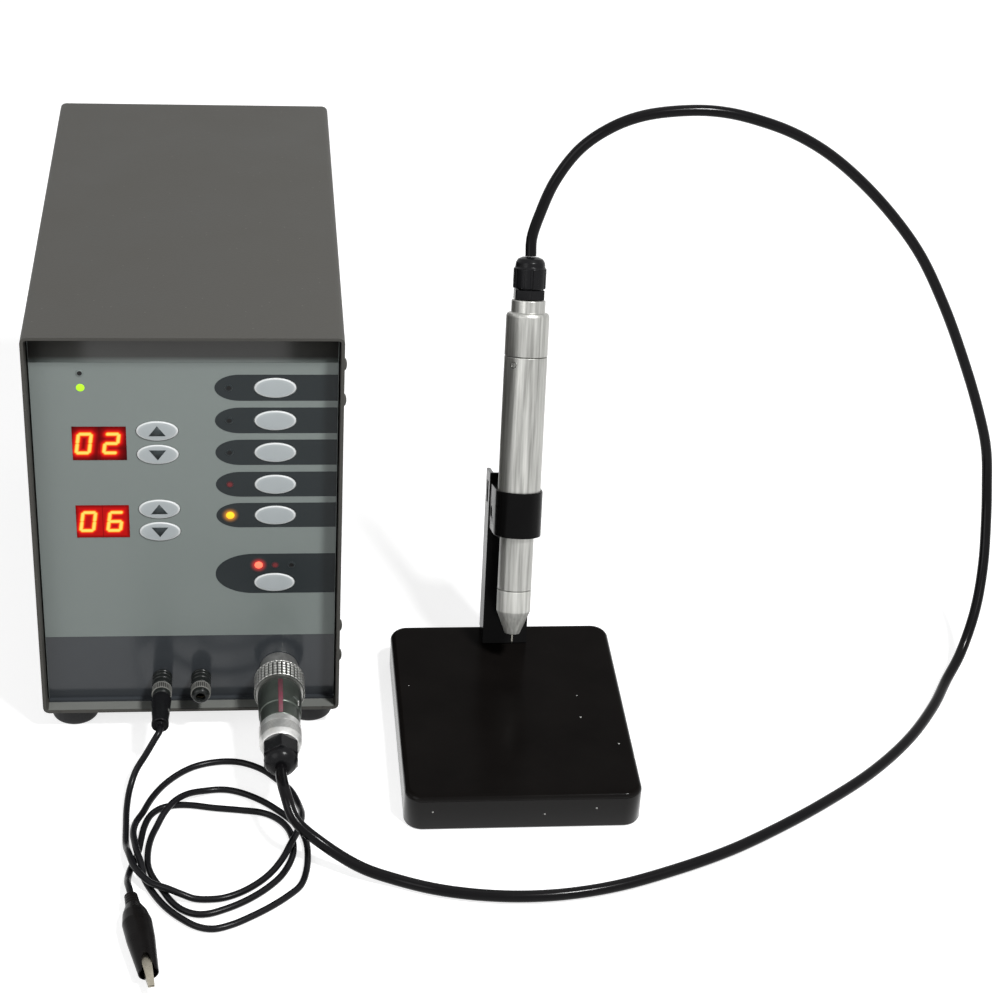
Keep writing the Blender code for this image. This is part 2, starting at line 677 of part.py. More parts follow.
def make_handpiece():
    silver = (0.62, 0.62, 0.61)
    profile = [(6.3, NOSE_TOP), (SLIM, NOSE_TOP), (SLIM, 22.8), (3.7, 10.6), (1.4, 10.6)]
    profile += [(1.4, 13.5), (4, 18), (4, 26), (6.3, 26)]
    piece(turned("handpiece_nose", profile, axis, steps=28), silver, 0.3, 1.0)

    profile = [(0, 140), (7.3, 140), (7.3, BARREL_TOP), (FAT, BARREL_TOP), (FAT, SHOULDER)]
    profile += [(SLIM, SHOULDER), (SLIM, NOSE_TOP + GAP), (6, NOSE_TOP + GAP), (6, 26.3), (4, 26.3)]
    profile += [(4, 72), (0, 72)]
    barrel = turned("handpiece_barrel", profile, axis, steps=32)
    screw = prism("barrel_screw_hole", circle(0, 149.2, 1.2, 12), -FAT - 3, -FAT + 0.9, "y", axis)
    screw.rotation_euler = (0, 0, math.radians(-40))
    cut(barrel, screw)
    piece(barrel, silver, 0.3, 1.0)

    low = BARREL_TOP + GAP
    profile = [(0, 170), (4.3, 170), (4.3, NECK_TOP), (8.5, NECK_TOP), (8.5, CAP_TOP), (9.4, CAP_TOP)]
    profile += [(10.4, CAP_TOP - 0.6), (FAT, CAP_TOP - 1.6), (FAT, low), (7, low), (7, 140.3), (0, 140.3)]
    piece(turned("handpiece_end_cap", profile, axis, steps=32), silver, 0.3, 1.0)

    low = NECK_TOP + GAP
    profile = [(0, 195), (5.5, 195), (5.5, 184), (4, 184), (4, 170.3), (0, 170.3)]
    gland = turned("handpiece_gland", profile, axis, steps=20)
    join(gland, prism("gland_lower_hex", circle(0, 0, 8.4, 6), low, HEX_TOP, "z", axis))
    piece(gland, BLACK, 0.45)

    low = HEX_TOP + GAP
    profile = [(0, GLAND_TOP), (3.8, GLAND_TOP), (6.4, 200.9), (7.5, 198), (7.5, low), (0, low)]
    nut = turned("handpiece_gland_nut", profile, axis, steps=20)
    join(nut, prism("gland_nut_hex", circle(0, 0, 8.5, 6), low, 197.1, "z", axis))
    cut(nut, prism("gland_nut_bore", circle(0, 0, 5.8, 20), low - 3, 195.3, "z", axis))
    piece(nut, BLACK, 0.45)

    profile = [(0.9, 60), (3, 60), (3, 19.6), (1.7, 16.6), (0.9, 16.6)]
    piece(turned("collet", profile, axis, steps=16), (0.7, 0.5, 0.3), 0.35, 1.0)
    profile = [(0, 70), (0.55, 70), (0.55, 6.4), (0.2, 5.2), (0, 5.2)]
    piece(turned("electrode", profile, axis, steps=12), (0.45, 0.45, 0.47), 0.35, 1.0)


def smooth_route(points, spacing):
    """Points at an even spacing along a centripetal Catmull-Rom curve through `points`."""
    points = np.array(points, float)
    first = 2 * points[0] - points[1]
    last = 2 * points[-1] - points[-2]
    points = np.vstack([first, points, last])
    dense = []
    for p0, p1, p2, p3 in zip(points, points[1:], points[2:], points[3:]):
        t1 = np.linalg.norm(p1 - p0) ** 0.5
        t2 = t1 + np.linalg.norm(p2 - p1) ** 0.5
        t3 = t2 + np.linalg.norm(p3 - p2) ** 0.5
        t = np.linspace(t1, t2, 12, endpoint=False)[:, None]
        a1 = (t1 - t) / t1 * p0 + t / t1 * p1
        a2 = (t2 - t) / (t2 - t1) * p1 + (t - t1) / (t2 - t1) * p2
        a3 = (t3 - t) / (t3 - t2) * p2 + (t - t2) / (t3 - t2) * p3
        b1 = (t2 - t) / t2 * a1 + t / t2 * a2
        b2 = (t3 - t) / (t3 - t1) * a2 + (t - t1) / (t3 - t1) * a3
        dense.append((t2 - t) / (t2 - t1) * b1 + (t - t1) / (t2 - t1) * b2)
    dense = np.vstack(dense + [points[-2:-1]])
    run = np.concatenate([[0], np.cumsum(np.linalg.norm(np.diff(dense, axis=0), axis=1))])
    count = max(2, round(run[-1] / spacing))
    at = np.linspace(0, run[-1], count + 1)
    return np.stack([np.interp(at, run, dense[:, i]) for i in range(3)], axis=1), run[-1]


def segment_distance(p, q, r, s):
    """The least distance between the segments p-q and r-s."""
    d1 = q - p
    d2 = s - r
    w = p - r
    a = d1 @ d1
    b = d1 @ d2
    c = d2 @ d2
    d = d1 @ w
    e = d2 @ w
    fall = a * c - b * b
    t = min(max((b * e - c * d) / fall, 0), 1) if fall > 1e-9 else 0.0
    u = min(max((b * t + e) / c, 0), 1)
    t = min(max((b * u - d) / a, 0), 1)
    return np.linalg.norm(w + t * d1 - u * d2)


def least_gap(path, radius, other=None, other_radius=0.0):
    """The least clear gap of a tube with itself, or with another tube."""
    least = (1e9, 0, 0)
    lap = max(3, math.ceil(5 * radius / np.linalg.norm(path[1] - path[0])))
    for i in range(len(path) - 1):
        if other is None:
            spans = [(path[j], path[j + 1], j) for j in range(i + lap, len(path) - 1)]
        else:
            spans = [(other[j], other[j + 1], j) for j in range(len(other) - 1)]
        for r, s, j in spans:
            gap = segment_distance(path[i], path[i + 1], r, s)
            if gap < least[0]:
                least = (gap, i, j)
    both = radius + (radius if other is None else other_radius)
    return least[0] - both, least[1], least[2]


def make_tube(name, path, radius, colour, rough):
    curve = bpy.data.curves.new(name, "CURVE")
    curve.dimensions = "3D"
    spline = curve.splines.new("POLY")
    spline.points.add(len(path) - 1)
    for point, place in zip(spline.points, path):
        point.co = (*(Vector(place) * MM), 1.0)
    curve.bevel_depth = radius * MM
    curve.bevel_resolution = 2
    curve.use_fill_caps = True
    tube = bpy.data.objects.new(name, curve)
    tube.parent = root
    return piece(tube, colour, rough)


def on_axis(height):
    """The bench point at this height up the handpiece's axis."""
    frame = Matrix.Translation(Vector(POST_FOOT)) @ Euler((LEAN_BACK, LEAN_SIDE, 0)).to_matrix().to_4x4()
    return tuple(frame @ Vector((0, AXIS_FORWARD, height)))


CABLE_POINTS = [
    (43.3, -71.3, 31.0), (43.35, -77.5, 30.9), (45.4, -89.8, 29), (49.4, -98.7, 22),
    (61.8, -105.2, 13), (79.1, -114, 6), (94.3, -119.5, 3.2), (115.7, -127.8, 3),
    (142, -132.8, 3), (168.3, -133, 3), (195.7, -128.2, 3), (224.2, -118.3, 3),
    (253.7, -105.1, 3), (279.8, -89.8, 3), (307.4, -71.1, 3), (336.9, -47.8, 3),
    (363, -20.9, 3), (382.7, 6.5, 3), (395, 28, 3.4), (406, 44, 9), (415.7, 60, 25.7),
    (421.5, 76, 44), (423.8, 90, 63.7), (423.9, 98, 79), (421.5, 104, 100.6),
    (413.6, 108, 124.8), (400.8, 111, 155), (387.7, 112, 181.8), (371.5, 113, 209.6),
    (354.6, 113, 230.7), (334.2, 112, 251.2), (315.1, 111, 266.5), (297, 110.5, 276.8),
    (279.5, 110, 283.4), (262.4, 109.5, 287.7), (245.6, 109, 289), (221.3, 108, 286.5),
    (205.5, 107.5, 280.4), (190.6, 107, 269.2), (179, 105.5, 252.5), (172.6, 103.6, 236.5),
]
LEAD_POINTS = [
    (-14.4, -31.3, 26), (-14.4, -34.8, 26), (-16.9, -38.6, 23.4), (-21.2, -41.4, 16.6),
    (-25.9, -44.4, 9.5), (-28.7, -51.4, 4), (-29.7, -62.5, 1.9), (-29.5, -76.6, 1.6),
    (-28.9, -90.0, 1.9), (-26.9, -101, 5.6), (-24.3, -109.5, 5.6), (-20.5, -116, 5.6),
    (-15.9, -121.5, 5.6), (-9, -125.2, 5.6), (-2.6, -127.4, 4.0), (3.0, -128.4, 2.0), (8.1, -128.8, 1.6),
    (15.7, -128.3, 1.6), (23.3, -125.2, 1.6), (31, -119.6, 1.6), (38.1, -111.9, 1.8),
    (43.6, -104, 3.4), (47.4, -96.3, 5.6), (50.4, -88.3, 5.6), (52.4, -80.8, 5.6),
    (53.1, -73, 4.2), (52.2, -64.6, 1.9), (49.1, -54, 1.6), (46.1, -48.5, 1.6),
    (41.4, -43, 1.6), (36.7, -37.4, 1.6), (31.3, -33.1, 1.6), (24.4, -29.7, 1.6),
    (17.6, -28.6, 1.6), (10.7, -29.2, 1.6), (3.9, -31.2, 1.6), (-1.4, -34.1, 1.6),
    (-7.4, -39.4, 1.6), (-13.3, -46.8, 1.6), (-18.3, -56.2, 1.6), (-21.9, -66.5, 1.8),
    (-24.8, -75.8, 3.4), (-25.6, -85.9, 5.4), (-24.6, -93, 5.6), (-23.2, -100, 5.6),
    (-21.2, -106.5, 4.2), (-19.9, -112.9, 2.0), (-15.9, -122.4, 1.6), (-9.6, -133, 1.6), (-2.5, -140.9, 1.6),
    (5.4, -146.9, 1.6), (12.2, -148.5, 1.6), (20.2, -146.1, 1.6), (28.4, -141.4, 1.6),
    (38, -134.6, 1.6), (46.4, -127.1, 1.6), (51.6, -120.9, 1.6), (54.4, -111.3, 1.6),
    (55.4, -98.5, 1.6), (54.7, -89.4, 1.6), (52.4, -81.5, 1.6), (48.3, -74.6, 1.6),
    (42.9, -68, 1.6), (34.9, -60.0, 1.6), (24.7, -53.2, 1.6), (15.7, -50.4, 1.6),
    (7.2, -52, 2.4), (-0.8, -57, 4.8), (-6.9, -63, 5.6), (-11.6, -70, 4.4),
    (-15.2, -77.5, 1.8), (-17.6, -86.1, 1.6), (-18.6, -96, 1.6), (-18.0, -105.9, 1.6),
    (-15.2, -114.2, 1.6), (-11.4, -121.2, 1.6), (-7.2, -129.2, 1.6), (-2.6, -134.8, 1.6),
    (3.2, -138.2, 1.6), (9.2, -138.6, 1.6), (18, -135.3, 1.6), (27.2, -129.9, 1.6),
    (36.3, -122.1, 1.6), (42.9, -113.9, 1.6), (46.9, -105.2, 1.6), (48.7, -97.3, 1.6),
    (48.5, -88.2, 1.6), (46.2, -79.8, 1.6), (41.6, -73.2, 1.6), (35.1, -68.6, 1.6),
    (24.5, -66.2, 1.6), (11.1, -64, 1.6), (-0.2, -61.6, 1.6), (-7.5, -61.6, 1.6),
    (-13.8, -63.7, 1.6), (-18.3, -68.7, 1.6), (-20.9, -76.9, 1.6), (-22.1, -86, 1.6),
    (-22.9, -94, 1.6), (-24.2, -100.4, 1.6), (-26.2, -107.5, 1.7), (-27, -114.4, 2.6),
    (-26.7, -120.6, 5), (-25.6, -126.6, 6.6), (-24.95, -130.2, 6.6),
]


def make_cords():
    ends = [on_axis(GLAND_TOP + 9.0), on_axis(GLAND_TOP + GAP)]
    cable, cable_length = smooth_route(CABLE_POINTS + ends, 11.0)
    lead, lead_length = smooth_route(LEAD_POINTS, 5.6)
    cable[:, 2] = np.maximum(cable[:, 2], CABLE_RADIUS)
    lead[:, 2] = np.maximum(lead[:, 2], LEAD_RADIUS)
    make_tube("handpiece_cable", cable, CABLE_RADIUS, BLACK, 0.3)
    make_tube("earth_lead", lead, LEAD_RADIUS, BLACK, 0.35)
    print(f"cable {cable_length:.0f} mm, {len(cable)} points, self-gap %.2f at %d-%d" % least_gap(cable, CABLE_RADIUS))
    print(f"lead {lead_length:.0f} mm, {len(lead)} points, self-gap %.2f at %d-%d" % least_gap(lead, LEAD_RADIUS))
    print("gap between the two %.2f at %d-%d" % least_gap(cable, CABLE_RADIUS, lead, LEAD_RADIUS))


def make_clip():
    outer = [(0, 0), (2.2, 0), (2.6, 0.4), (3.0, 7), (4.9, 13.5), (6.2, 21), (6.0, 31), (5.0, 42), (4.2, 51.5)]
    inner = [(3.5, 51.5), (3.8, 42), (4.9, 31), (5.2, 21), (4.2, 14), (2.2, 9), (0, 9)]
    profile = [(radius, -s) for radius, s in outer + inner]
    boot = turned("clip_boot", profile, clip, (0, 0, 0), (math.pi / 2, 0, 0), 20)
    boot.scale = (BOOT_WIDENING, 1.0, 1.0)
    mouth = ellipse(0, 52.0, 2.7, BOOT_MOUTH, 16)
    cut(boot, prism("boot_mouth", mouth, 0.6, 8.0, "z", clip))
    piece(boot, BLACK, 0.6)

    for side, name in ((-1, "clip_lower_jaw"), (1, "clip_upper_jaw")):
        tail = [(14, 2.6), (14, 3.2), (27, 2.4), (29, 2.4), (29, 1.6), (27, 1.6)]
        beak = [(28, 1.6), (28, 2.4), (44, 2.4), (53, 2.0), (59.3, 0.9), (59.3, 0.15), (42, 0.15), (38.5, 1.6)]
        jaw = prism(name, [(s, side * z) for s, z in beak], -2.3, 2.3, "x", clip, (0, CLIP_PIN, 0))
        join(jaw, prism(name + "_tail", [(s, side * z) for s, z in tail], -2.0, 2.0, "x", clip))
        near, far = ((1.9, 2.3) if side < 0 else (0.9, 1.5))
        lobe = CLIP_PIN_RADIUS + 2 * GAP + 0.1
        ear = [(-2.2, 2.2), (2.2, 2.2), (2.2, 1.4), (lobe, 0), (0.7 * lobe, -0.7 * lobe)]
        ear += [(0, -lobe), (-0.7 * lobe, -0.7 * lobe), (-lobe, 0), (-2.2, 1.4)]
        ear = [(CLIP_PIN + s, side * z) for s, z in ear]
        for k in (-1, 1):
            across = sorted((k * near, k * far))
            join(jaw, prism(f"{name}_ear_{k}", ear, *across, "x", clip))
        if side < 0:
            join(jaw, prism("clip_pin", circle(CLIP_PIN, 0, CLIP_PIN_RADIUS, 12), -2.2, 2.2, "x", clip))
        else:
            hole = circle(CLIP_PIN, 0, CLIP_PIN_RADIUS + GAP, 12)
            cut(jaw, prism("clip_pin_hole", hole, -1.8, 1.8, "x", clip))
        for k in (-1, 1):
            wedge = [(k * 1.3, 60.5), (k * 2.35, 45), (k * 6, 45), (k * 6, 60.5)]
            cut(jaw, prism(f"{name}_wedge_{k}", wedge, -4, 4, "z", clip))
        piece(jaw, STEEL, 0.25, 1.0)


def make_rear():
    plate = end_panel("rear_panel", REAR_FACE, REAR_FACE - WALL, -1)
    x, z = REAR_FITTINGS["inlet"]
    sx, sz = REAR_FITTINGS["switch"]
    fx, fz = REAR_FITTINGS["fuse"]
    outlines = [rectangle(x, z, 27.6, 20.6), rectangle(sx, sz, 20.6, 26.6), circle(fx, fz, 6.3)]
    for i in range(7):
        outlines.append(rectangle(0, 150 + 7.0 * i, 80, 3))
    cut(plate, prisms("rear_holes", outlines, REAR_FACE - WALL - 2, REAR_FACE + 2, "y", root))
    cut(plate, flange_holes("rear_flange_holes", REAR_FACE - WALL - 6.0, REAR_SCREW_ROWS))
    piece(plate, COVER, 0.6)

    lip = REAR_FACE + GAP
    inlet = prism("mains_inlet", rectangle(x, z, 31, 24), lip, lip + 2.4, "y", root)
    join(inlet, prism("inlet_body", rectangle(x, z, 27, 20), REAR_FACE - 22, lip + 1, "y", root))
    cut(inlet, prism("inlet_mouth", rectangle(x, z, 24.2, 16.6), lip - 16, lip + 5, "y", root))
    pins = [rectangle(x + u, z + v, 1.9, 4.1) for u, v in ((-7.0, -2.0), (7.0, -2.0), (0.0, 2.2))]
    join(inlet, prisms("inlet_pins", pins, lip - 17, lip - 3, "y", root))
    piece(inlet, BLACK, 0.45)

    body = prism("power_switch_body", rectangle(sx, sz, 23, 29), lip, lip + 1.8, "y", root)
    join(body, prism("switch_housing", rectangle(sx, sz, 20, 26), REAR_FACE - 18, lip + 1, "y", root))
    cut(body, prism("switch_mouth", rectangle(sx, sz, 15, 21), lip - 8, lip + 5, "y", root))
    piece(body, BLACK, 0.4)
    y = lip - 0.6
    side = [(y + 3.9, sz - 9.2), (y + 1.6, sz), (y + 3.2, sz + 9.2), (y - 2.0, sz + 9.2)]
    side += [(y - 4.6, sz), (y - 2.0, sz - 9.2)]
    rocker = prism("power_rocker", side, sx - 7.2, sx + 7.2, "x", root, (sx, y, sz))
    piece(rocker, BLACK, 0.3)

    profile = [(0, 22), (6, 22), (6, -GAP), (8, -GAP), (8, -2.3), (4.6, -2.3), (4.6, 8), (0, 8)]
    fuse = turned("fuse_holder", profile, root, (fx, REAR_FACE, fz), (math.pi / 2, 0, 0), 20)
    piece(fuse, BLACK, 0.45)
    top = FUSE_PROUD
    profile = [(0, 7.5), (4.3, 7.5), (4.3, -2.6), (6.6, -2.6), (6.6, -3.4), (6.0, 0.8 - top)]
    profile += [(5.4, -top), (0, -top)]
    cap = turned("fuse_cap", profile, root, (fx, REAR_FACE, fz), (math.pi / 2, 0, 0), 24)
    piece(cap, BLACK, 0.4)


def make_inside():
    floor = TRAY_TOP + GAP
    y0, y1 = CORE_Y
    top = floor + CORE_HEIGHT
    inner = CORE_HALF - LIMB
    core = boxes("transformer", [((-CORE_HALF, CORE_HALF), (y0, y1), (floor, top))], root)
    windows = [
        (side, (y0 - 10, y1 + 10), (floor + LIMB, top - LIMB)) for side in ((-inner, LIMB - inner), (inner - LIMB, inner))
    ]
    cut(core, boxes("core_windows", windows, root))
    coil = ((-inner - 1, inner + 1), (y0 - COIL_PROUD, y1 + COIL_PROUD), (floor + LIMB + 2, top - LIMB - 2))
    join(core, boxes("coil", [coil], root))
    piece(core, (0.2, 0.17, 0.14), 0.6)
    r = CAPACITOR_RADIUS
    top = floor + CAPACITOR_HEIGHT
    for side, x in (("left", -CAPACITOR_X), ("right", CAPACITOR_X)):
        profile = [(0, top), (r - 2.5, top), (r, top - 2), (r, floor), (0, floor)]
        piece(turned("capacitor_" + side, profile, root, (x, CAPACITOR_Y, 0)), (0.05, 0.06, 0.12), 0.4)
    low = POWER_BOARD_HEIGHT
    h = LEG_HALF
    x = POWER_BOARD_HALF
    y0, y1 = POWER_BOARD_Y
    board = boxes("power_board", [((-x, x), (y0, y1), (low, low + WALL))], root)
    x -= STANDOFF_INSET
    legs = [
        ((u - h, u + h), (v - h, v + h), (floor, low + 0.5))
        for u in (-x, x)
        for v in (y0 + STANDOFF_INSET, y1 - STANDOFF_INSET)
    ]
    join(board, boxes("board_legs", legs, root))
    piece(board, (0.02, 0.12, 0.04), 0.5)


clear_scene()
parts = new_collection("spot_welder")
helpers = new_collection("helpers")
root = new_empty("spot_welder_frame", (-CENTRE[0], -CENTRE[1], 0), (0, 0, 0), None)
lean = new_empty("stand_lean", POST_FOOT, (LEAN_BACK, LEAN_SIDE, 0), root)
axis = new_empty("handpiece_axis", (0, AXIS_FORWARD, 0), (0, 0, 0), lean)
clip = new_empty("clip_frame", CLIP_NECK, (0, 0, CLIP_TURN), root)
make_cover()
make_tray()
make_front_panel()
make_buttons()
make_electronics()
make_binding_posts()
make_connector()
make_stand_base()
make_post()
make_holder()
make_handpiece()
make_cords()
make_clip()
make_rear()
make_inside()
bpy.context.view_layer.update()
print("centre", CENTRE, "objects", len([o for o in parts.objects if o.type != "EMPTY"]))
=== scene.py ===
import json
import math

import bmesh
import bpy
import numpy as np
from mathutils import Matrix

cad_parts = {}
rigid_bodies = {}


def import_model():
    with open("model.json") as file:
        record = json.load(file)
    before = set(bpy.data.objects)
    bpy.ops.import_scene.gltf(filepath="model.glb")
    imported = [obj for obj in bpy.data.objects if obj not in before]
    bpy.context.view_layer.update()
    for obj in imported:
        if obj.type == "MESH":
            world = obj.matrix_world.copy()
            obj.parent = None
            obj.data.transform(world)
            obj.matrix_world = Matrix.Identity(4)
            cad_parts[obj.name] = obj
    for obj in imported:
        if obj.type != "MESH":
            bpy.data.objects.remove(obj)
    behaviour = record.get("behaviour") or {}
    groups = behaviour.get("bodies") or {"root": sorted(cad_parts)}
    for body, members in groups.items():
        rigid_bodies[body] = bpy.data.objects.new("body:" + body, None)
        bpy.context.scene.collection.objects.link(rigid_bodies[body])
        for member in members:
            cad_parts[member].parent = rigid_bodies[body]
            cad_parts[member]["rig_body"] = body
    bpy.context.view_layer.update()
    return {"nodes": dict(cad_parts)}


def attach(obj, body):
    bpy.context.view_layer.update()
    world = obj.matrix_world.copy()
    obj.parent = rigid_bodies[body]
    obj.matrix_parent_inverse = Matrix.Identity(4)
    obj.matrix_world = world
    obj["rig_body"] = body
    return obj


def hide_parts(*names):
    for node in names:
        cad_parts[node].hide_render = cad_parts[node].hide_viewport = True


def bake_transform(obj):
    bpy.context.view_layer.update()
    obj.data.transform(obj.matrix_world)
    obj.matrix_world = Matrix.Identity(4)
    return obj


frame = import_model()
print("frame loaded:", len(frame["nodes"]), "nodes")

# places, in millimetres on the bench: x across, y back from the case's front lip, z up

bench = {
    "middle": (70.5, 101.6),
    "connector": (43.3, 31.0),
    "posts": {"left": -14.4, "right": 4.65},
    "postHeight": 26.0,
    "standFoot": (161.3, 42.6, 19.5),
    "leanBack": -21.5,
    "leanSide": 2.1,
    "axisForward": -20.0,
    "clipNeck": (-24.9, -130.5, 6.6),
    "clipTurn": 190.95,
}


def shifted(x, y, z):
    return Matrix.Translation((x, y, z))


benchFrame = shifted(-bench["middle"][0], -bench["middle"][1], 0)
leanTurn = Matrix.Rotation(math.radians(bench["leanSide"]), 4, "Y") @ Matrix.Rotation(
    math.radians(bench["leanBack"]), 4, "X"
)
leanFrame = benchFrame @ shifted(*bench["standFoot"]) @ leanTurn
penFrame = leanFrame @ shifted(0, bench["axisForward"], 0)
clipFrame = benchFrame @ shifted(*bench["clipNeck"]) @ Matrix.Rotation(
    math.radians(bench["clipTurn"]), 4, "Z"
)
turnedDown = Matrix.Rotation(math.pi / 2, 4, "X")  # local z points to the front


def frontFrame(x, z):
    return benchFrame @ shifted(x, 0, z) @ turnedDown


def placed(points, place):
    # Points in millimetres in a local frame, as metres in the object's frame.
    m = np.array(place, float)
    return (np.asarray(points, float) @ m[:3, :3].T + m[:3, 3]) / 1000.0


# meshes worked out on grids


def gridMesh(name, points, closeU=False, closeV=False):
    # The point at row i and column j joins (i+1, j), (i+1, j+1) and (i, j+1) in one four-sided face.
    rows, columns = points.shape[:2]
    i, j = np.meshgrid(
        np.arange(rows if closeU else rows - 1), np.arange(columns if closeV else columns - 1), indexing="ij"
    )
    nextI = (i + 1) % rows
    nextJ = (j + 1) % columns
    faces = np.stack([i * columns + j, nextI * columns + j, nextI * columns + nextJ, i * columns + nextJ], -1)
    faces = faces.reshape(-1, 4).astype(np.int32)
    mesh = bpy.data.meshes.new(name)
    mesh.vertices.add(rows * columns)
    mesh.vertices.foreach_set("co", points.reshape(-1).astype(np.float32))
    mesh.loops.add(faces.size)
    mesh.loops.foreach_set("vertex_index", faces.ravel())
    mesh.polygons.add(len(faces))
    mesh.polygons.foreach_set("loop_start", np.arange(0, faces.size, 4, dtype=np.int32))
    mesh.update(calc_edges=True)
    return mesh


def marked(mesh, value, label="mark"):
    attribute = mesh.attributes.new(label, "FLOAT", "POINT")
    attribute.data.foreach_set("value", np.asarray(value, float).reshape(-1).astype(np.float32))


def tidied(mesh, distance=2e-7):
    # Doubles are merged, holes closed and faces turned outwards.
    bm = bmesh.new()
    bm.from_mesh(mesh)
    bmesh.ops.remove_doubles(bm, verts=bm.verts, dist=distance)
    openEdges = [edge for edge in bm.edges if edge.is_boundary]
    if openEdges:
        bmesh.ops.holes_fill(bm, edges=openEdges, sides=0)
    bmesh.ops.recalc_face_normals(bm, faces=bm.faces)
    bm.to_mesh(mesh)
    bm.free()
    return mesh


def addObject(name, data):
    made = bpy.data.objects.new(name, data)
    bpy.context.scene.collection.objects.link(made)
    return made


def painted(mesh, look):
    mesh.materials.clear()
    mesh.materials.append(finishes[look])


def finished(name, mesh, look, body, replaced=(), smooth=None):
    # A piece of the scene: smooth is the angle in degrees past which an edge stays sharp.
    if smooth is not None:
        mesh.polygons.foreach_set("use_smooth", np.ones(len(mesh.polygons), bool))
        mesh.set_sharp_from_angle(angle=math.radians(smooth))
    piece = addObject(name, mesh)
    painted(mesh, look)
    if body:
        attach(piece, body)
    if replaced:
        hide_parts(*replaced)
    return piece


def thickened(piece, thickness, offset=-1):
    # The sheet gets its thickness, in millimetres.
    thick = piece.modifiers.new("Thickness", "SOLIDIFY")
    thick.thickness = thickness / 1000
    thick.offset = offset


def around(count):
    # Angles round a full circle, as one row.
    return np.linspace(0, 2 * np.pi, count, endpoint=False)[None, :]


def softened(profile, corner, closed):
    # Each corner p becomes the curve (1-t)^2 a + 2t(1-t) p + t^2 b between points a and b on its two sides.
    p = np.asarray(profile, float)
    before = np.roll(p, 1, axis=0) - p
    after = np.roll(p, -1, axis=0) - p
    lengthBefore = np.linalg.norm(before, axis=1)
    lengthAfter = np.linalg.norm(after, axis=1)
    reach = np.minimum(np.minimum(corner, 0.45 * lengthBefore), 0.45 * lengthAfter)
    if not closed:
        reach[[0, -1]] = 0
    a = p + before / lengthBefore[:, None] * reach[:, None]
    b = p + after / lengthAfter[:, None] * reach[:, None]
    t = np.linspace(0, 1, 5)[None, :, None]
    curve = (1 - t) ** 2 * a[:, None] + 2 * t * (1 - t) * p[:, None] + t**2 * b[:, None]
    return curve.reshape(-1, 2)


def filled(profile, spacing):
    # Points at an even spacing are added along every side of the profile.
    run = np.concatenate([[0], np.cumsum(np.linalg.norm(np.diff(profile, axis=0), axis=1))])
    at = np.unique(np.concatenate([run, np.arange(0, run[-1], spacing)]))
    return np.stack([np.interp(at, run, profile[:, k]) for k in (0, 1)], axis=1)


def curveMesh(curve, lines, closed):
    # The mesh that a curve's settings make of its lines of points.
    for line in lines:
        spline = curve.splines.new("POLY")
        spline.points.add(len(line) - 1)
        spline.points.foreach_set("co", np.column_stack([line, np.ones(len(line))]).ravel())
        spline.use_cyclic_u = closed
    shape = addObject(curve.name, curve)
    graph = bpy.context.evaluated_depsgraph_get()
    mesh = bpy.data.meshes.new_from_object(shape.evaluated_get(graph))
    bpy.data.objects.remove(shape)
    return mesh


def turnedMesh(name, profile, place, segments=72, corner=0.25, relief=None, spacing=0.25, ringed=None):
    # A point of the profile (radius, height) goes to (radius cos u, radius sin u, height) for u round the circle.
    # relief(u, height, radius) gives how far the surface stands out, in millimetres; past the radius "ringed"
    # the mark is 1.
    closed = profile[0][0] > 0 or profile[-1][0] > 0
    shape = softened(profile, corner, closed)
    if relief:
        shape = filled(shape, spacing)
    u = around(segments)
    radius = shape[:, 0][:, None] + 0 * u
    height = shape[:, 1][:, None] + 0 * u
    if relief:
        radius = radius + relief(u, height, radius)
    points = np.stack([radius * np.cos(u), radius * np.sin(u), height], -1)
    mesh = gridMesh(name, placed(points, place), closed, True)
    if relief:
        # The mark runs from 0 on the ridges to 1 in the deepest grooves; where a finish gives a marked colour, it is
        # painted shade in the grooves.
        depth = shape[:, 0][:, None] - radius
        marked(mesh, depth / max(depth.max(), 1e-6))
    if ringed:
        marked(mesh, radius > ringed)
    return tidied(mesh)


def turned(name, profile, place, look, body, replaced=(), smooth=50, **values):
    mesh = turnedMesh(name, profile, place, **values)
    return finished(name, mesh, look, body, replaced, smooth)


def frontTurned(name, profile, x, z, look, body, replaced=(), **values):
    # A turned piece on the front panel; its profile is (radius, distance back).
    return turned(name, [(r, -y) for r, y in profile], frontFrame(x, z), look, body, replaced, **values)


def outlineMesh(name, outline, low, high, place, corner=0.0):
    # The outline (x, y) is carried from height low to high, and pulled in by `corner` at both ends.
    outline = np.asarray(outline, float)
    middle = outline.mean(0)
    size = np.abs(outline - middle).max(0)
    pulled = middle + (outline - middle) * (1 - corner / np.maximum(size, 1e-6))
    levels = [(pulled, low), (outline, low + corner), (outline, high - corner), (pulled, high)]
    if corner == 0:
        levels = [(outline, low), (outline, high)]
    points = np.stack([np.column_stack([o, np.full(len(o), h)]) for o, h in levels])
    return tidied(gridMesh(name, placed(points, place), False, True))


def ovalOutline(halfWide, halfHigh, count, x, z):
    t = around(count)[0]
    return np.column_stack([x + halfWide * np.cos(t), z + halfHigh * np.sin(t)])


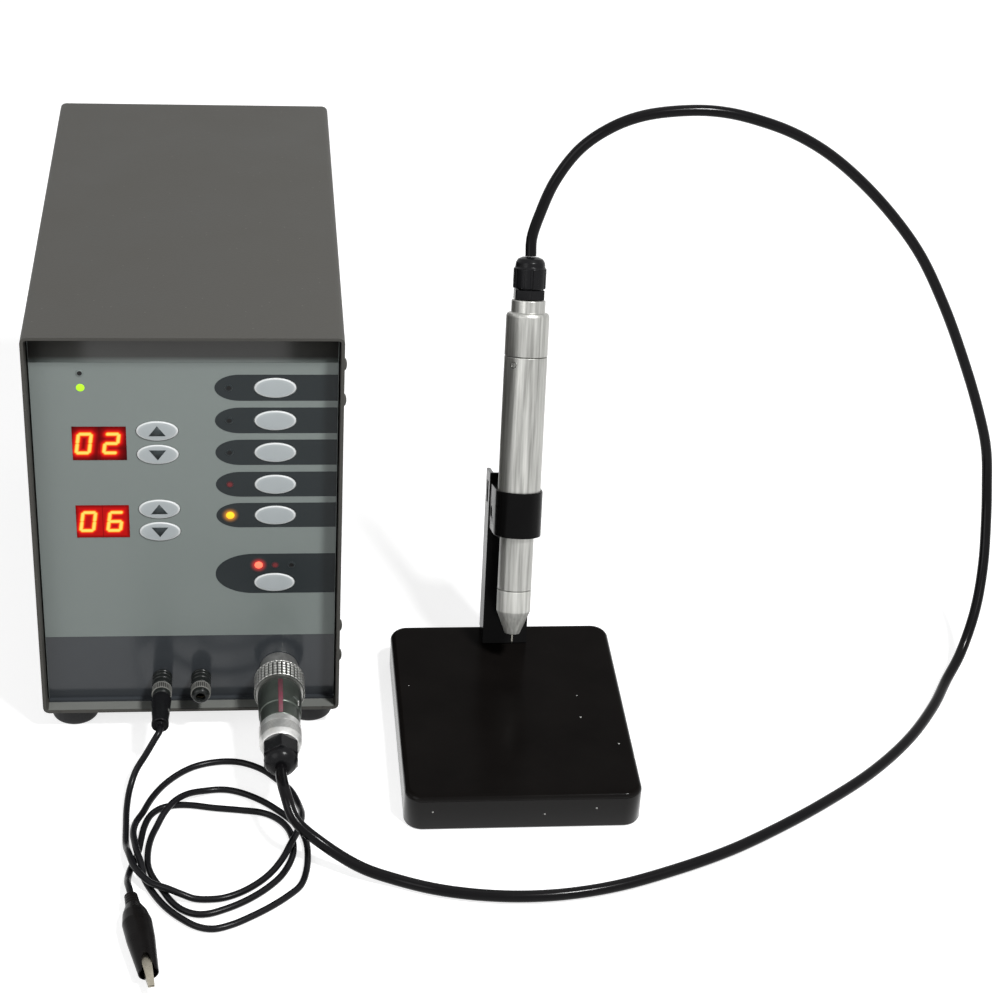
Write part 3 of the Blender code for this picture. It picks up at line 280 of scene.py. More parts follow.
def finishedCopy(node, look, bevel, smooth=40, segments=2):
    # A copy of a CAD node with its doubles merged, its flats made whole and its edges broken.
    source = frame["nodes"][node]
    bm = bmesh.new()
    bm.from_mesh(source.data)
    bmesh.ops.remove_doubles(bm, verts=bm.verts, dist=2e-6)
    bmesh.ops.dissolve_limit(bm, angle_limit=math.radians(0.6), verts=bm.verts, edges=bm.edges)
    mesh = bpy.data.meshes.new(node + "Finished")
    bm.to_mesh(mesh)
    bm.free()
    piece = finished(node + "Finished", mesh, look, source["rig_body"], (node,), smooth)
    edge = piece.modifiers.new("Broken edges", "BEVEL")
    edge.width = bevel / 1000
    edge.segments = segments
    edge.limit_method = "ANGLE"
    edge.angle_limit = math.radians(smooth)
    edge.harden_normals = True
    return piece


# shader nodes, and the groups that several finishes share


def filledNode(tree, node, inputs):
    # Each input gets a value, or a link when another node's output is given.
    for name, value in inputs.items():
        if isinstance(value, bpy.types.NodeSocket):
            tree.links.new(value, node.inputs[name])
        else:
            node.inputs[name].default_value = value
    return node


def newNode(tree, kind, inputs=None):
    return filledNode(tree, tree.nodes.new("ShaderNode" + kind), inputs or {})


def groupNode(tree, group, inputs):
    node = tree.nodes.new("ShaderNodeGroup")
    node.node_tree = group
    return filledNode(tree, node, inputs)


def worked(tree, operation, first, second):
    node = newNode(tree, "Math", {0: first, 1: second})
    node.operation = operation
    return node.outputs[0]


def mixedColour(tree, factor, before, after):
    node = tree.nodes.new("ShaderNodeMix")
    node.data_type = "RGBA"
    return filledNode(tree, node, {"Factor": factor, "A": before, "B": after}).outputs["Result"]


def attributeOutput(tree, label):
    node = tree.nodes.new("ShaderNodeAttribute")
    node.attribute_name = label
    return node.outputs["Fac"]


def newMaterial(name):
    material = bpy.data.materials.new(name)
    material.use_nodes = True
    return material, material.node_tree


def newGroup(name, inputs, outputs):
    group = bpy.data.node_groups.new(name, "ShaderNodeTree")
    for label, kind, value in inputs:
        socket = group.interface.new_socket(label, in_out="INPUT", socket_type="NodeSocket" + kind)
        if value is not None:
            socket.default_value = value
    for label, kind in outputs:
        group.interface.new_socket(label, in_out="OUTPUT", socket_type="NodeSocket" + kind)
    return group, group.nodes.new("NodeGroupInput").outputs, group.nodes.new("NodeGroupOutput").inputs


def makeGrainGroup():
    # Two noises on object coordinates: a broad one for colour and gloss, a fine one for the bump.
    tree, given, made = newGroup(
        "surfaceGrain",
        [
            ("Vector", "Vector", None), ("Broad Scale", "Float", 30.0), ("Fine Scale", "Float", 900.0),
            ("Bump", "Float", 0.1), ("Rough Low", "Float", 0.3), ("Rough High", "Float", 0.5),
        ],
        [("Mask", "Float"), ("Roughness", "Float"), ("Normal", "Vector")],
    )
    place = given["Vector"]
    broad = newNode(tree, "TexNoise", {"Vector": place, "Scale": given["Broad Scale"], "Detail": 4}).outputs[0]
    fine = newNode(tree, "TexNoise", {"Vector": place, "Scale": given["Fine Scale"], "Detail": 2}).outputs[0]
    contrast = newNode(tree, "MapRange", {"Value": broad, "From Min": 0.15, "From Max": 0.85})
    rough = newNode(tree, "MapRange", {"Value": broad, "To Min": given["Rough Low"], "To Max": given["Rough High"]})
    bump = newNode(tree, "Bump", {"Strength": given["Bump"], "Height": fine, "Distance": 0.0002})
    for name, node in (("Mask", contrast), ("Roughness", rough), ("Normal", bump)):
        tree.links.new(node.outputs[0], made[name])
    return tree


def makeSpeckGroup():
    # Small scattered specks: 1 inside a speck, 0 elsewhere.
    tree, given, made = newGroup(
        "dustSpecks",
        [("Vector", "Vector", None), ("Scale", "Float", 200.0), ("Size", "Float", 0.08), ("Share", "Float", 0.8)],
        [("Mask", "Float")],
    )
    cells = newNode(tree, "TexVoronoi", {"Vector": given["Vector"], "Scale": given["Scale"]})
    split = newNode(tree, "SeparateColor", {0: cells.outputs["Color"]})
    near = worked(tree, "LESS_THAN", cells.outputs["Distance"], given["Size"])
    chosen = worked(tree, "GREATER_THAN", split.outputs[0], given["Share"])
    tree.links.new(worked(tree, "MULTIPLY", near, chosen), made["Mask"])
    return tree


grainGroup = makeGrainGroup()
speckGroup = makeSpeckGroup()


def finish(name, values):
    # Two close colours are mixed by the broad grain, which also sets the gloss; the fine grain is the bump.
    # "edge" is the colour seen at a grazing angle, painted light: a painted sheen on the pen and painted shade on
    # the plug body. "marked" is the colour where the mesh's mark attribute is 1: painted shade in knurl and thread
    # grooves, a painted highlight on the keys' rims, the painted shadow of the top lip, and the print's own colour
    # round unlit lamps. A painted glow, the lamp's light painted on the print round it, is an emission whose
    # strength follows that attribute.
    material, tree = newMaterial(name)
    place = newNode(tree, "TexCoord").outputs["Object"]
    mapping = tree.nodes.new("ShaderNodeMapping")
    mapping.vector_type = "TEXTURE"
    stretch, turn = values.get("stretch", (1, 1, 1)), values.get("turn", (0, 0, 0))
    filledNode(tree, mapping, {"Vector": place, "Scale": stretch, "Rotation": turn})
    grain = groupNode(tree, grainGroup, {
        "Vector": mapping.outputs[0],
        "Broad Scale": values.get("broad", 30),
        "Fine Scale": values.get("fine", 900),
        "Bump": values.get("bump", 0.1),
        "Rough Low": values["rough"][0],
        "Rough High": values["rough"][1],
    }).outputs
    varied = values.get("varied", values["colour"])
    colour = mixedColour(tree, grain["Mask"], (*values["colour"], 1), (*varied, 1))
    if "edge" in values:
        facing = newNode(tree, "LayerWeight", {"Blend": 0.35}).outputs["Facing"]
        colour = mixedColour(tree, facing, colour, (*values["edge"], 1))
    if "marked" in values:
        colour = mixedColour(tree, attributeOutput(tree, "mark"), colour, (*values["marked"], 1))
    inputs = {
        "Base Color": colour,
        "Roughness": grain["Roughness"],
        "Normal": grain["Normal"],
        "Metallic": values.get("metal", 0),
        "Specular IOR Level": values.get("shine", 0.5),
    }
    if "glow" in values:
        inputs["Emission Color"] = (*values["glow"], 1)
        inputs["Emission Strength"] = values["glowStrength"]
    if "paintedGlow" in values:
        inputs["Emission Color"] = (*values["paintedGlow"], 1)
        inputs["Emission Strength"] = attributeOutput(tree, "mark")
    if "topShine" in values:
        # The flat top above this height reflects less than the sides: painted shade that makes the top darker than
        # the sides.
        low, high, value = values["topShine"]
        height = newNode(tree, "SeparateXYZ", {0: place}).outputs["Z"]
        span = {"Value": height, "From Min": low, "From Max": high, "To Min": values["shine"], "To Max": value}
        inputs["Specular IOR Level"] = newNode(tree, "MapRange", span).outputs[0]
    filledNode(tree, tree.nodes["Principled BSDF"], inputs)
    return material


def addSpecks(material, colour, scale, size, share, factor):
    # Light specks over a finish that is already made.
    tree = material.node_tree
    base = tree.nodes["Principled BSDF"].inputs["Base Color"]
    place = newNode(tree, "TexCoord").outputs["Object"]
    specks = groupNode(tree, speckGroup, {"Vector": place, "Scale": scale, "Size": size, "Share": share})
    strength = worked(tree, "MULTIPLY", specks.outputs["Mask"], factor)
    tree.links.new(mixedColour(tree, strength, base.links[0].from_socket, (*colour, 1)), base)


# The values of each finish: its two colours, the range of its roughness, and the scale of its grain.
filmLook = {
    "colour": (0.175, 0.203, 0.193), "varied": (0.188, 0.215, 0.205), "rough": (0.2, 0.3), "shine": 0.3,
    "broad": 10, "bump": 0,
}
tabLook = {
    "colour": (0.012, 0.017, 0.019), "varied": (0.018, 0.023, 0.025), "rough": (0.2, 0.3), "shine": 0.2,
    "broad": 12, "bump": 0,
}
lampLook = {"rough": (0.2, 0.3), "shine": 0.1, "broad": 100, "bump": 0.02}
penTurn = (math.radians(bench["leanBack"]), math.radians(bench["leanSide"]), 0)
penLook = {"stretch": (1, 1, 25), "turn": penTurn, "broad": 620, "fine": 1200}
looks = {
    "coverPaint": {
        "colour": (0.041, 0.04, 0.0355), "varied": (0.051, 0.049, 0.0435), "rough": (0.45, 0.65), "shine": 0.3,
        "broad": 22, "fine": 1400, "bump": 0.35,
    },
    "linerPaint": {
        "colour": (0.125, 0.13, 0.12), "varied": (0.165, 0.17, 0.16), "rough": (0.35, 0.5), "shine": 0.4,
        "broad": 40, "fine": 1400, "bump": 0.2,
    },
    "panelFilm": filmLook,
    "stripPrint": {
        "colour": (0.034, 0.038, 0.043), "varied": (0.039, 0.044, 0.049), "rough": (0.12, 0.18), "shine": 0.35,
        "broad": 14, "bump": 0,
    },
    # The film's finish with the painted shadow of the top lip as its marked colour.
    "lipShadowPaint": {**filmLook, "marked": (0.056, 0.054, 0.051)},
    "tabPrint": tabLook,
    # Its marked colour is a painted highlight on the key's rim.
    "keyFace": {
        "colour": (0.34, 0.372, 0.382), "varied": (0.38, 0.412, 0.422), "marked": (0.62, 0.64, 0.64),
        "rough": (0.3, 0.42), "shine": 0.4, "broad": 60, "bump": 0.03,
    },
    "arrowPrint": {
        "colour": (0.03, 0.038, 0.04), "rough": (0.35, 0.45), "shine": 0.2, "broad": 60, "bump": 0.02,
    },
    "lampOff": {**lampLook, "colour": (0.006, 0.006, 0.006), "marked": (0.175, 0.203, 0.193), "shine": 0.2},
    "lampDark": {
        **lampLook, "colour": (0.002, 0.002, 0.002), "marked": (0.017, 0.023, 0.025), "rough": (0.15, 0.25),
        "shine": 0.2,
    },
    "lampGreen": {**lampLook, "colour": (0.2, 0.5, 0.02), "glow": (0.5, 0.9, 0.03), "glowStrength": 0.8},
    "lampAmber": {**lampLook, "colour": (0.6, 0.3, 0.01), "glow": (1.0, 0.56, 0.03), "glowStrength": 1.0},
    "lampRed": {**lampLook, "colour": (0.6, 0.1, 0.05), "glow": (1.0, 0.2, 0.12), "glowStrength": 1.1},
    "lampFaint": {
        **lampLook, "colour": (0.12, 0.03, 0.03), "marked": (0.012, 0.017, 0.019),
        "glow": (0.10, 0.004, 0.008), "glowStrength": 0.5,
    },
    # Painted glow round lit lamps: the tab's print glows in the lamp's colour, as strongly as the mark says.
    "paintedGlowAmber": {**tabLook, "paintedGlow": (0.7, 0.25, 0.01)},
    "paintedGlowRed": {**tabLook, "paintedGlow": (0.7, 0.02, 0.015)},
    # Its top reflects less than its sides: painted shade on the top of the base.
    "glossBlack": {
        "colour": (0.0035, 0.003, 0.0028), "varied": (0.006, 0.0052, 0.0048), "rough": (0.12, 0.2),
        "shine": 0.16, "topShine": (0.0168, 0.0192, 0.012), "broad": 40, "fine": 500, "bump": 0.04,
    },
    "holderBlack": {
        "colour": (0.003, 0.0028, 0.003), "varied": (0.005, 0.005, 0.005), "rough": (0.16, 0.24), "shine": 0.05,
        "broad": 60, "fine": 700, "bump": 0.04,
    },
    # Its "edge" colour is a painted sheen towards the pen's outline.
    "penAluminium": {
        **penLook, "colour": (0.13, 0.13, 0.12), "varied": (0.66, 0.66, 0.63), "edge": (0.34, 0.34, 0.32),
        "rough": (0.3, 0.46), "metal": 0.75, "shine": 0.7,
    },
    "noseAluminium": {
        **penLook, "colour": (0.22, 0.22, 0.2), "varied": (0.66, 0.66, 0.63), "rough": (0.4, 0.55),
        "metal": 0.35, "shine": 0.8,
    },
    "brightMetal": {
        "colour": (0.45, 0.45, 0.43), "varied": (0.62, 0.62, 0.6), "rough": (0.16, 0.3), "metal": 1,
        "broad": 120, "bump": 0.08,
    },
    # Its marked colour is painted shade in the knurl's grooves.
    "knurledMetal": {
        "colour": (0.36, 0.36, 0.34), "varied": (0.58, 0.58, 0.56), "marked": (0.008, 0.008, 0.007),
        "rough": (0.3, 0.42), "metal": 0.9, "broad": 300, "bump": 0.05,
    },
    "flangeMetal": {
        "colour": (0.28, 0.28, 0.27), "varied": (0.62, 0.62, 0.6), "rough": (0.3, 0.42), "metal": 0.85,
        "shine": 0.8, "broad": 200, "bump": 0.05,
    },
    # Its marked colour is painted shade in the thread's grooves.
    "threadMetal": {
        "colour": (0.5, 0.5, 0.49), "varied": (0.92, 0.92, 0.9), "marked": (0.3, 0.3, 0.29),
        "rough": (0.3, 0.44), "metal": 0.85, "broad": 240, "bump": 0.08,
    },
    # Its "edge" colour is painted shade towards the body's outline.
    "gunMetal": {
        "colour": (0.05, 0.06, 0.052), "varied": (0.12, 0.136, 0.12), "edge": (0.012, 0.014, 0.012),
        "rough": (0.26, 0.38), "metal": 0.5, "shine": 0.2, "broad": 60, "bump": 0.04,
    },
    "indexRed": {
        "colour": (0.085, 0.04, 0.045), "varied": (0.17, 0.03, 0.055), "rough": (0.4, 0.55), "shine": 0.2,
        "broad": 420, "bump": 0.05,
    },
    "glandNylon": {
        "colour": (0.004, 0.004, 0.0045), "varied": (0.008, 0.008, 0.009), "rough": (0.2, 0.32), "shine": 0.12,
        "broad": 80, "fine": 1200, "bump": 0.08,
    },
    "capPlastic": {
        "colour": (0.007, 0.008, 0.0075), "varied": (0.014, 0.016, 0.015), "rough": (0.2, 0.34), "shine": 0.2,
        "broad": 90, "bump": 0.06,
    },
    # Its marked colour is painted shade in the grip's grooves.
    "knurlBand": {
        "colour": (0.13, 0.13, 0.12), "varied": (0.26, 0.26, 0.24), "marked": (0.01, 0.01, 0.01),
        "rough": (0.35, 0.5), "shine": 0.3, "broad": 300,
    },
    "cableJacket": {
        "colour": (0.0025, 0.0025, 0.003), "varied": (0.005, 0.0045, 0.005), "rough": (0.12, 0.22),
        "shine": 0.1, "broad": 50, "fine": 500, "bump": 0.05,
    },
    "leadJacket": {
        "colour": (0.004, 0.004, 0.005), "varied": (0.007, 0.007, 0.008), "rough": (0.2, 0.32), "shine": 0.12,
        "broad": 80, "fine": 700, "bump": 0.05,
    },
    "bootRubber": {
        "colour": (0.003, 0.0026, 0.0026), "varied": (0.006, 0.0052, 0.0052), "rough": (0.22, 0.36),
        "shine": 0.07, "broad": 160, "fine": 1200, "bump": 0.2,
    },
    "jawMetal": {
        "colour": (0.16, 0.145, 0.11), "varied": (0.46, 0.43, 0.36), "rough": (0.2, 0.34), "metal": 1,
        "broad": 200, "bump": 0.06,
    },
    "footRubber": {
        "colour": (0.014, 0.014, 0.015), "varied": (0.024, 0.024, 0.025), "rough": (0.4, 0.6), "shine": 0.2,
        "broad": 90, "fine": 1500, "bump": 0.2,
    },
    "brassTube": {
        "colour": (0.05, 0.042, 0.028), "varied": (0.09, 0.075, 0.045), "rough": (0.2, 0.34), "metal": 1,
        "broad": 90, "bump": 0.05,
    },
    "wireSteel": {
        "colour": (0.22, 0.21, 0.18), "varied": (0.34, 0.33, 0.3), "rough": (0.2, 0.34), "metal": 1,
        "broad": 200, "bump": 0.05,
    },
    "boardGreen": {
        "colour": (0.01, 0.1, 0.03), "varied": (0.02, 0.14, 0.05), "rough": (0.35, 0.5), "broad": 60,
    },
    "coreSteel": {
        "colour": (0.12, 0.11, 0.1), "varied": (0.2, 0.18, 0.15), "rough": (0.4, 0.6), "metal": 0.6,
        "stretch": (1, 0.025, 1), "broad": 20, "bump": 0.3,
    },
}
finishes = {name: finish(name, values) for name, values in looks.items()}
addSpecks(finishes["glossBlack"], (0.5, 0.5, 0.48), scale=130, size=0.06, share=0.72, factor=0.8)
addSpecks(finishes["coverPaint"], (0.16, 0.155, 0.14), scale=260, size=0.09, share=0.75, factor=0.35)
print("finishes:", len(finishes))

# camera, as solved from the photograph

camera = {"place": (31.28, -927.41, 711.02), "yaw": 7.179, "pitch": 31.681, "roll": 3.473, "lens": 82.83}


def makeCamera(values):
    yaw, pitch, roll = (math.radians(values[k]) for k in ("yaw", "pitch", "roll"))
    ahead = np.array([math.sin(yaw) * math.cos(pitch), math.cos(yaw) * math.cos(pitch), -math.sin(pitch)])
    right = np.array([math.cos(yaw), -math.sin(yaw), 0.0])
    up = np.cross(right, ahead)
    turnedRight = math.cos(roll) * right + math.sin(roll) * up
    turnedUp = -math.sin(roll) * right + math.cos(roll) * up
    data = bpy.data.cameras.new("photoCamera")
    data.sensor_width = 36
    data.lens = values["lens"]
    data.clip_end = 20
    made = addObject("photoCamera", data)
    world = np.eye(4)
    world[:3, 0] = turnedRight
    world[:3, 1] = turnedUp
    world[:3, 2] = -ahead
    world[:3, 3] = placed([values["place"]], benchFrame)[0]
    made.matrix_world = Matrix(world.tolist())
    bpy.context.scene.camera = made


makeCamera(camera)

# cords

cable = {
    "radius": 2.8,
    "points": [
        (43.3, -71.3, 31.0), (43.35, -77.5, 30.9), (45.4, -89.8, 29), (49.4, -98.7, 22),
        (61.8, -105.2, 13), (79.1, -114, 6), (94.3, -119.5, 3.2), (115.7, -127.8, 3),
        (142, -132.8, 3), (168.3, -133, 3), (195.7, -128.2, 3), (224.2, -118.3, 3),
        (253.7, -105.1, 3), (279.8, -89.8, 3), (307.4, -71.1, 3), (336.9, -47.8, 3),
        (363, -20.9, 3), (382.7, 6.5, 3), (395, 28, 3.4), (406, 44, 9), (415.7, 60, 25.7),
        (421.5, 76, 44), (423.8, 90, 63.7), (423.9, 98, 79), (421.5, 104, 100.6),
        (413.6, 108, 124.8), (400.8, 111, 155), (387.7, 112, 181.8), (371.5, 113, 209.6),
        (354.6, 113, 230.7), (334.2, 112, 251.2), (315.1, 111, 266.5), (297, 110.5, 276.8),
        (279.5, 110, 283.4), (262.4, 109.5, 287.7), (245.6, 109, 289), (221.3, 108, 286.5),
        (205.5, 107.5, 280.4), (190.6, 107, 269.2), (179, 105.5, 252.5), (172.6, 103.6, 236.5),
    ],
    "glandHeights": (211.4, 202.7),
}
lead = {
    "radius": 1.6,
    "points": [
        (-14.4, -31.3, 26), (-14.4, -34.8, 26), (-16.9, -38.6, 23.4), (-21.2, -41.4, 16.6),
        (-25.9, -44.4, 9.5), (-28.7, -51.4, 4), (-29.7, -62.5, 1.9), (-29.5, -76.6, 1.6),
        (-28.9, -90.0, 1.9), (-26.9, -101, 5.6), (-24.3, -109.5, 5.6), (-20.5, -116, 5.6),
        (-15.9, -121.5, 5.6), (-9, -125.2, 5.6), (-2.6, -127.4, 4.0), (3.0, -128.4, 2.0), (8.1, -128.8, 1.6),
        (15.7, -128.3, 1.6), (23.3, -125.2, 1.6), (31, -119.6, 1.6), (38.1, -111.9, 1.8),
        (43.6, -104, 3.4), (47.4, -96.3, 5.6), (50.4, -88.3, 5.6), (52.4, -80.8, 5.6),
        (53.1, -73, 4.2), (52.2, -64.6, 1.9), (49.1, -54, 1.6), (46.1, -48.5, 1.6),
        (41.4, -43, 1.6), (36.7, -37.4, 1.6), (31.3, -33.1, 1.6), (24.4, -29.7, 1.6),
        (17.6, -28.6, 1.6), (10.7, -29.2, 1.6), (3.9, -31.2, 1.6), (-1.4, -34.1, 1.6),
        (-7.4, -39.4, 1.6), (-13.3, -46.8, 1.6), (-18.3, -56.2, 1.6), (-21.9, -66.5, 1.8),
        (-24.8, -75.8, 3.4), (-25.6, -85.9, 5.4), (-24.6, -93, 5.6), (-23.2, -100, 5.6),
        (-21.2, -106.5, 4.2), (-19.9, -112.9, 2.0), (-15.9, -122.4, 1.6), (-9.6, -133, 1.6), (-2.5, -140.9, 1.6),
        (5.4, -146.9, 1.6), (12.2, -148.5, 1.6), (20.2, -146.1, 1.6), (28.4, -141.4, 1.6),
        (38, -134.6, 1.6), (46.4, -127.1, 1.6), (51.6, -120.9, 1.6), (54.4, -111.3, 1.6),
        (55.4, -98.5, 1.6), (54.7, -89.4, 1.6), (52.4, -81.5, 1.6), (48.3, -74.6, 1.6),
        (42.9, -68, 1.6), (34.9, -60.0, 1.6), (24.7, -53.2, 1.6), (15.7, -50.4, 1.6),
        (7.2, -52, 2.4), (-0.8, -57, 4.8), (-6.9, -63, 5.6), (-11.6, -70, 4.4),
        (-15.2, -77.5, 1.8), (-17.6, -86.1, 1.6), (-18.6, -96, 1.6), (-18.0, -105.9, 1.6),
        (-15.2, -114.2, 1.6), (-11.4, -121.2, 1.6), (-7.2, -129.2, 1.6), (-2.6, -134.8, 1.6),
        (3.2, -138.2, 1.6), (9.2, -138.6, 1.6), (18, -135.3, 1.6), (27.2, -129.9, 1.6),
        (36.3, -122.1, 1.6), (42.9, -113.9, 1.6), (46.9, -105.2, 1.6), (48.7, -97.3, 1.6),
        (48.5, -88.2, 1.6), (46.2, -79.8, 1.6), (41.6, -73.2, 1.6), (35.1, -68.6, 1.6),
        (24.5, -66.2, 1.6), (11.1, -64, 1.6), (-0.2, -61.6, 1.6), (-7.5, -61.6, 1.6),
        (-13.8, -63.7, 1.6), (-18.3, -68.7, 1.6), (-20.9, -76.9, 1.6), (-22.1, -86, 1.6),
        (-22.9, -94, 1.6), (-24.2, -100.4, 1.6), (-26.2, -107.5, 1.7), (-27, -114.4, 2.6),
        (-26.7, -120.6, 5), (-25.6, -126.6, 6.6), (-24.95, -130.2, 6.6),
    ],
}


def smoothRoute(points, spacing):
    # Centripetal Catmull-Rom: each span blends the lines through its four nearest points, timed by the
    # square root of their distances, and is then sampled at an even spacing along the curve.
    p = np.asarray(points, float)
    p = np.vstack([2 * p[0] - p[1], p, 2 * p[-1] - p[-2]])
    p0, p1, p2, p3 = p[:-3], p[1:-2], p[2:-1], p[3:]
    t1 = np.sqrt(np.linalg.norm(p1 - p0, axis=1))[:, None, None]
    t2 = t1 + np.sqrt(np.linalg.norm(p2 - p1, axis=1))[:, None, None]
    t3 = t2 + np.sqrt(np.linalg.norm(p3 - p2, axis=1))[:, None, None]
    t = t1 + (t2 - t1) * np.linspace(0, 1, 12, endpoint=False)[None, :, None]
    p0, p1, p2, p3 = (q[:, None, :] for q in (p0, p1, p2, p3))
    a1 = (t1 - t) / t1 * p0 + t / t1 * p1
    a2 = (t2 - t) / (t2 - t1) * p1 + (t - t1) / (t2 - t1) * p2
    a3 = (t3 - t) / (t3 - t2) * p2 + (t - t2) / (t3 - t2) * p3
    b1 = (t2 - t) / t2 * a1 + t / t2 * a2
    b2 = (t3 - t) / (t3 - t1) * a2 + (t - t1) / (t3 - t1) * a3
    dense = ((t2 - t) / (t2 - t1) * b1 + (t - t1) / (t2 - t1) * b2).reshape(-1, 3)
    dense = np.vstack([dense, p[-2]])
    run = np.concatenate([[0], np.cumsum(np.linalg.norm(np.diff(dense, axis=0), axis=1))])
    at = np.linspace(0, run[-1], max(2, round(run[-1] / spacing)) + 1)
    return np.stack([np.interp(at, run, dense[:, k]) for k in range(3)], axis=1)


def makeTube(name, path, radius, look):
    # A round tube along the path, made by a curve's bevel and kept as a mesh.
    curve = bpy.data.curves.new(name + "Line", "CURVE")
    curve.dimensions = "3D"
    curve.bevel_depth = radius
    curve.bevel_resolution = 6
    curve.use_fill_caps = True
    return finished(name, tidied(curveMesh(curve, [path], False)), look, None, smooth=50)


def cordLength(path):
    return float(np.linalg.norm(np.diff(path, axis=0), axis=1).sum())


def laidPath(points, radius):
    # The smooth route in metres, nowhere lower than the cord's radius.
    path = smoothRoute(points * 1000, radius) / 1000
    path[:, 2] = np.maximum(path[:, 2], radius / 1000)
    return path


onPen = placed([(0, 0, h) for h in cable["glandHeights"]], penFrame)
cablePath = laidPath(np.vstack([placed(cable["points"], benchFrame), onPen]), cable["radius"])
leadPath = laidPath(placed(lead["points"], benchFrame), lead["radius"])
cablePiece = makeTube("handpieceCable", cablePath, cable["radius"] / 1000, "cableJacket")
leadPiece = makeTube("earthLead", leadPath, lead["radius"] / 1000, "leadJacket")
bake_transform(cablePiece)
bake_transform(leadPiece)
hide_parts("handpiece_cable")
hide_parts("earth_lead")
print("cords: %.3f m and %.3f m" % (cordLength(cablePath), cordLength(leadPath)))

# front panel

panel = {
    "front": 9.0,
    "half": 70.4,
    "low": 13.0,
    "strip": 50.9,
    "proud": 0.04,
    "lift": 0.005,
    "tabs": (190.4, 173.0, 155.7, 138.1, 120.8),
    "tabStart": 13.4,
    "tabCurve": 11.6,
    "tabHalf": 6.9,
    "selectTab": {"start": 12.6, "curve": 18.5, "low": 75.8, "high": 98.7},
    "postHole": 3.6,
    "connectorHole": 8.4,
    "lipShadow": (203.6, 204.6, 206.8, 218.5),
    "lipShadowMark": (0, 0.14, 0.92, 1),
    "lipShadowLift": 0.03,
    "lipShadowThickness": 0.01,
}
panelBack = benchFrame @ shifted(0, panel["front"], 0) @ turnedDown  # x across, y up, z out to the front


def tabOutline(start, curve, low, high):
    # Half an oval at the left end, square at the panel's right edge.
    middle = (low + high) / 2
    t = np.linspace(np.pi / 2, 3 * np.pi / 2, 24)
    left = np.column_stack([start + curve + curve * np.cos(t), middle + (high - low) / 2 * np.sin(t)])
    return np.vstack([[panel["half"], high], left, [panel["half"], low]])


def flatPrint(name, outline, holes, look):
    # A thin print on the panel: a flat face with its holes cut out.
    curve = bpy.data.curves.new(name, "CURVE")
    curve.dimensions = "2D"
    curve.fill_mode = "BOTH"
    curve.extrude = panel["proud"] / 2000
    lines = [np.column_stack([np.asarray(edge) / 1000, np.zeros(len(edge))]) for edge in [outline] + holes]
    mesh = curveMesh(curve, lines, True)
    place = np.array(panelBack, float)
    place[:3, 3] /= 1000
    mesh.transform(Matrix(place.tolist()) @ shifted(0, 0, (panel["proud"] / 2 + panel["lift"]) / 1000))
    return finished(name, tidied(mesh), look, "station")


buttons = {
    "power_up": (-13.4, 167.5),
    "power_down": (-13.4, 154.8),
    "time_up": (-13.4, 124.6),
    "time_down": (-13.4, 112.0),
    "program_button_1": (41.4, 190.4),
    "program_button_2": (41.4, 173.0),
    "program_button_3": (41.4, 155.7),
    "program_button_4": (41.4, 138.1),
    "program_button_5": (41.4, 120.8),
    "select_button": (41.0, 82.2),
}
lamps = {
    "lampWait": (-47.75, 198.1, "lampOff"),
    "lampReady": (-47.7, 190.5, "lampGreen"),
    "lampProgram1": (20.0, 190.4, "lampDark"),
    "lampProgram2": (20.0, 173.0, "lampDark"),
    "lampProgram3": (20.0, 155.7, "lampDark"),
    "lampProgram4": (20.0, 138.1, "lampFaint"),
    "lampProgram5": (20.0, 120.8, "lampAmber"),
    "lampSelect1": (33.4, 92.2, "lampRed"),
    "lampSelect2": (41.4, 92.2, "lampFaint"),
    "lampSelect3": (49.2, 92.2, "lampDark"),
}
keyShape = {
    "half": (9.7, 5.1),
    "gap": 0.35,
    "rings": (1.0, 1.0, 0.985, 0.95, 0.88, 0.7, 0.45, 0.2, 0.0),
    "rise": (-0.35, 0.25, 0.45, 0.55, 0.61, 0.66, 0.69, 0.7, 0.7),
    "rimHighlightFrom": 0.87,
    "rimHighlightOver": 0.08,
}
arrow = {"half": 3.95, "foot": 2.5, "tip": 2.9, "low": 0.67, "high": 0.74}
lampShape = {
    "hole": 1.8,
    "dot": [(0, -0.27), (1.0, -0.27), (1.22, -0.3), (1.6, -0.26), (1.72, -0.06), (1.72, 0.9), (0, 0.9)],
    "dome": [
        (0, -0.5), (0.8, -0.46), (1.5, -0.34), (1.95, -0.12), (1.95, -0.06), (1.45, -0.05), (1.45, 0.9), (0, 0.9),
    ],
    "rim": 1.15,
}
paintedGlow = {"from": 1.2, "to": 4.6, "full": 1.9, "fade": 2.7, "power": 2.2, "lift": 0.055, "thickness": 0.01}


def keyHole(x, z):
    wide, high = keyShape["half"]
    return ovalOutline(wide + keyShape["gap"], high + keyShape["gap"], 64, x, z)


def lampHole(name):
    return ovalOutline(lampShape["hole"], lampShape["hole"], 24, *lamps[name][:2])


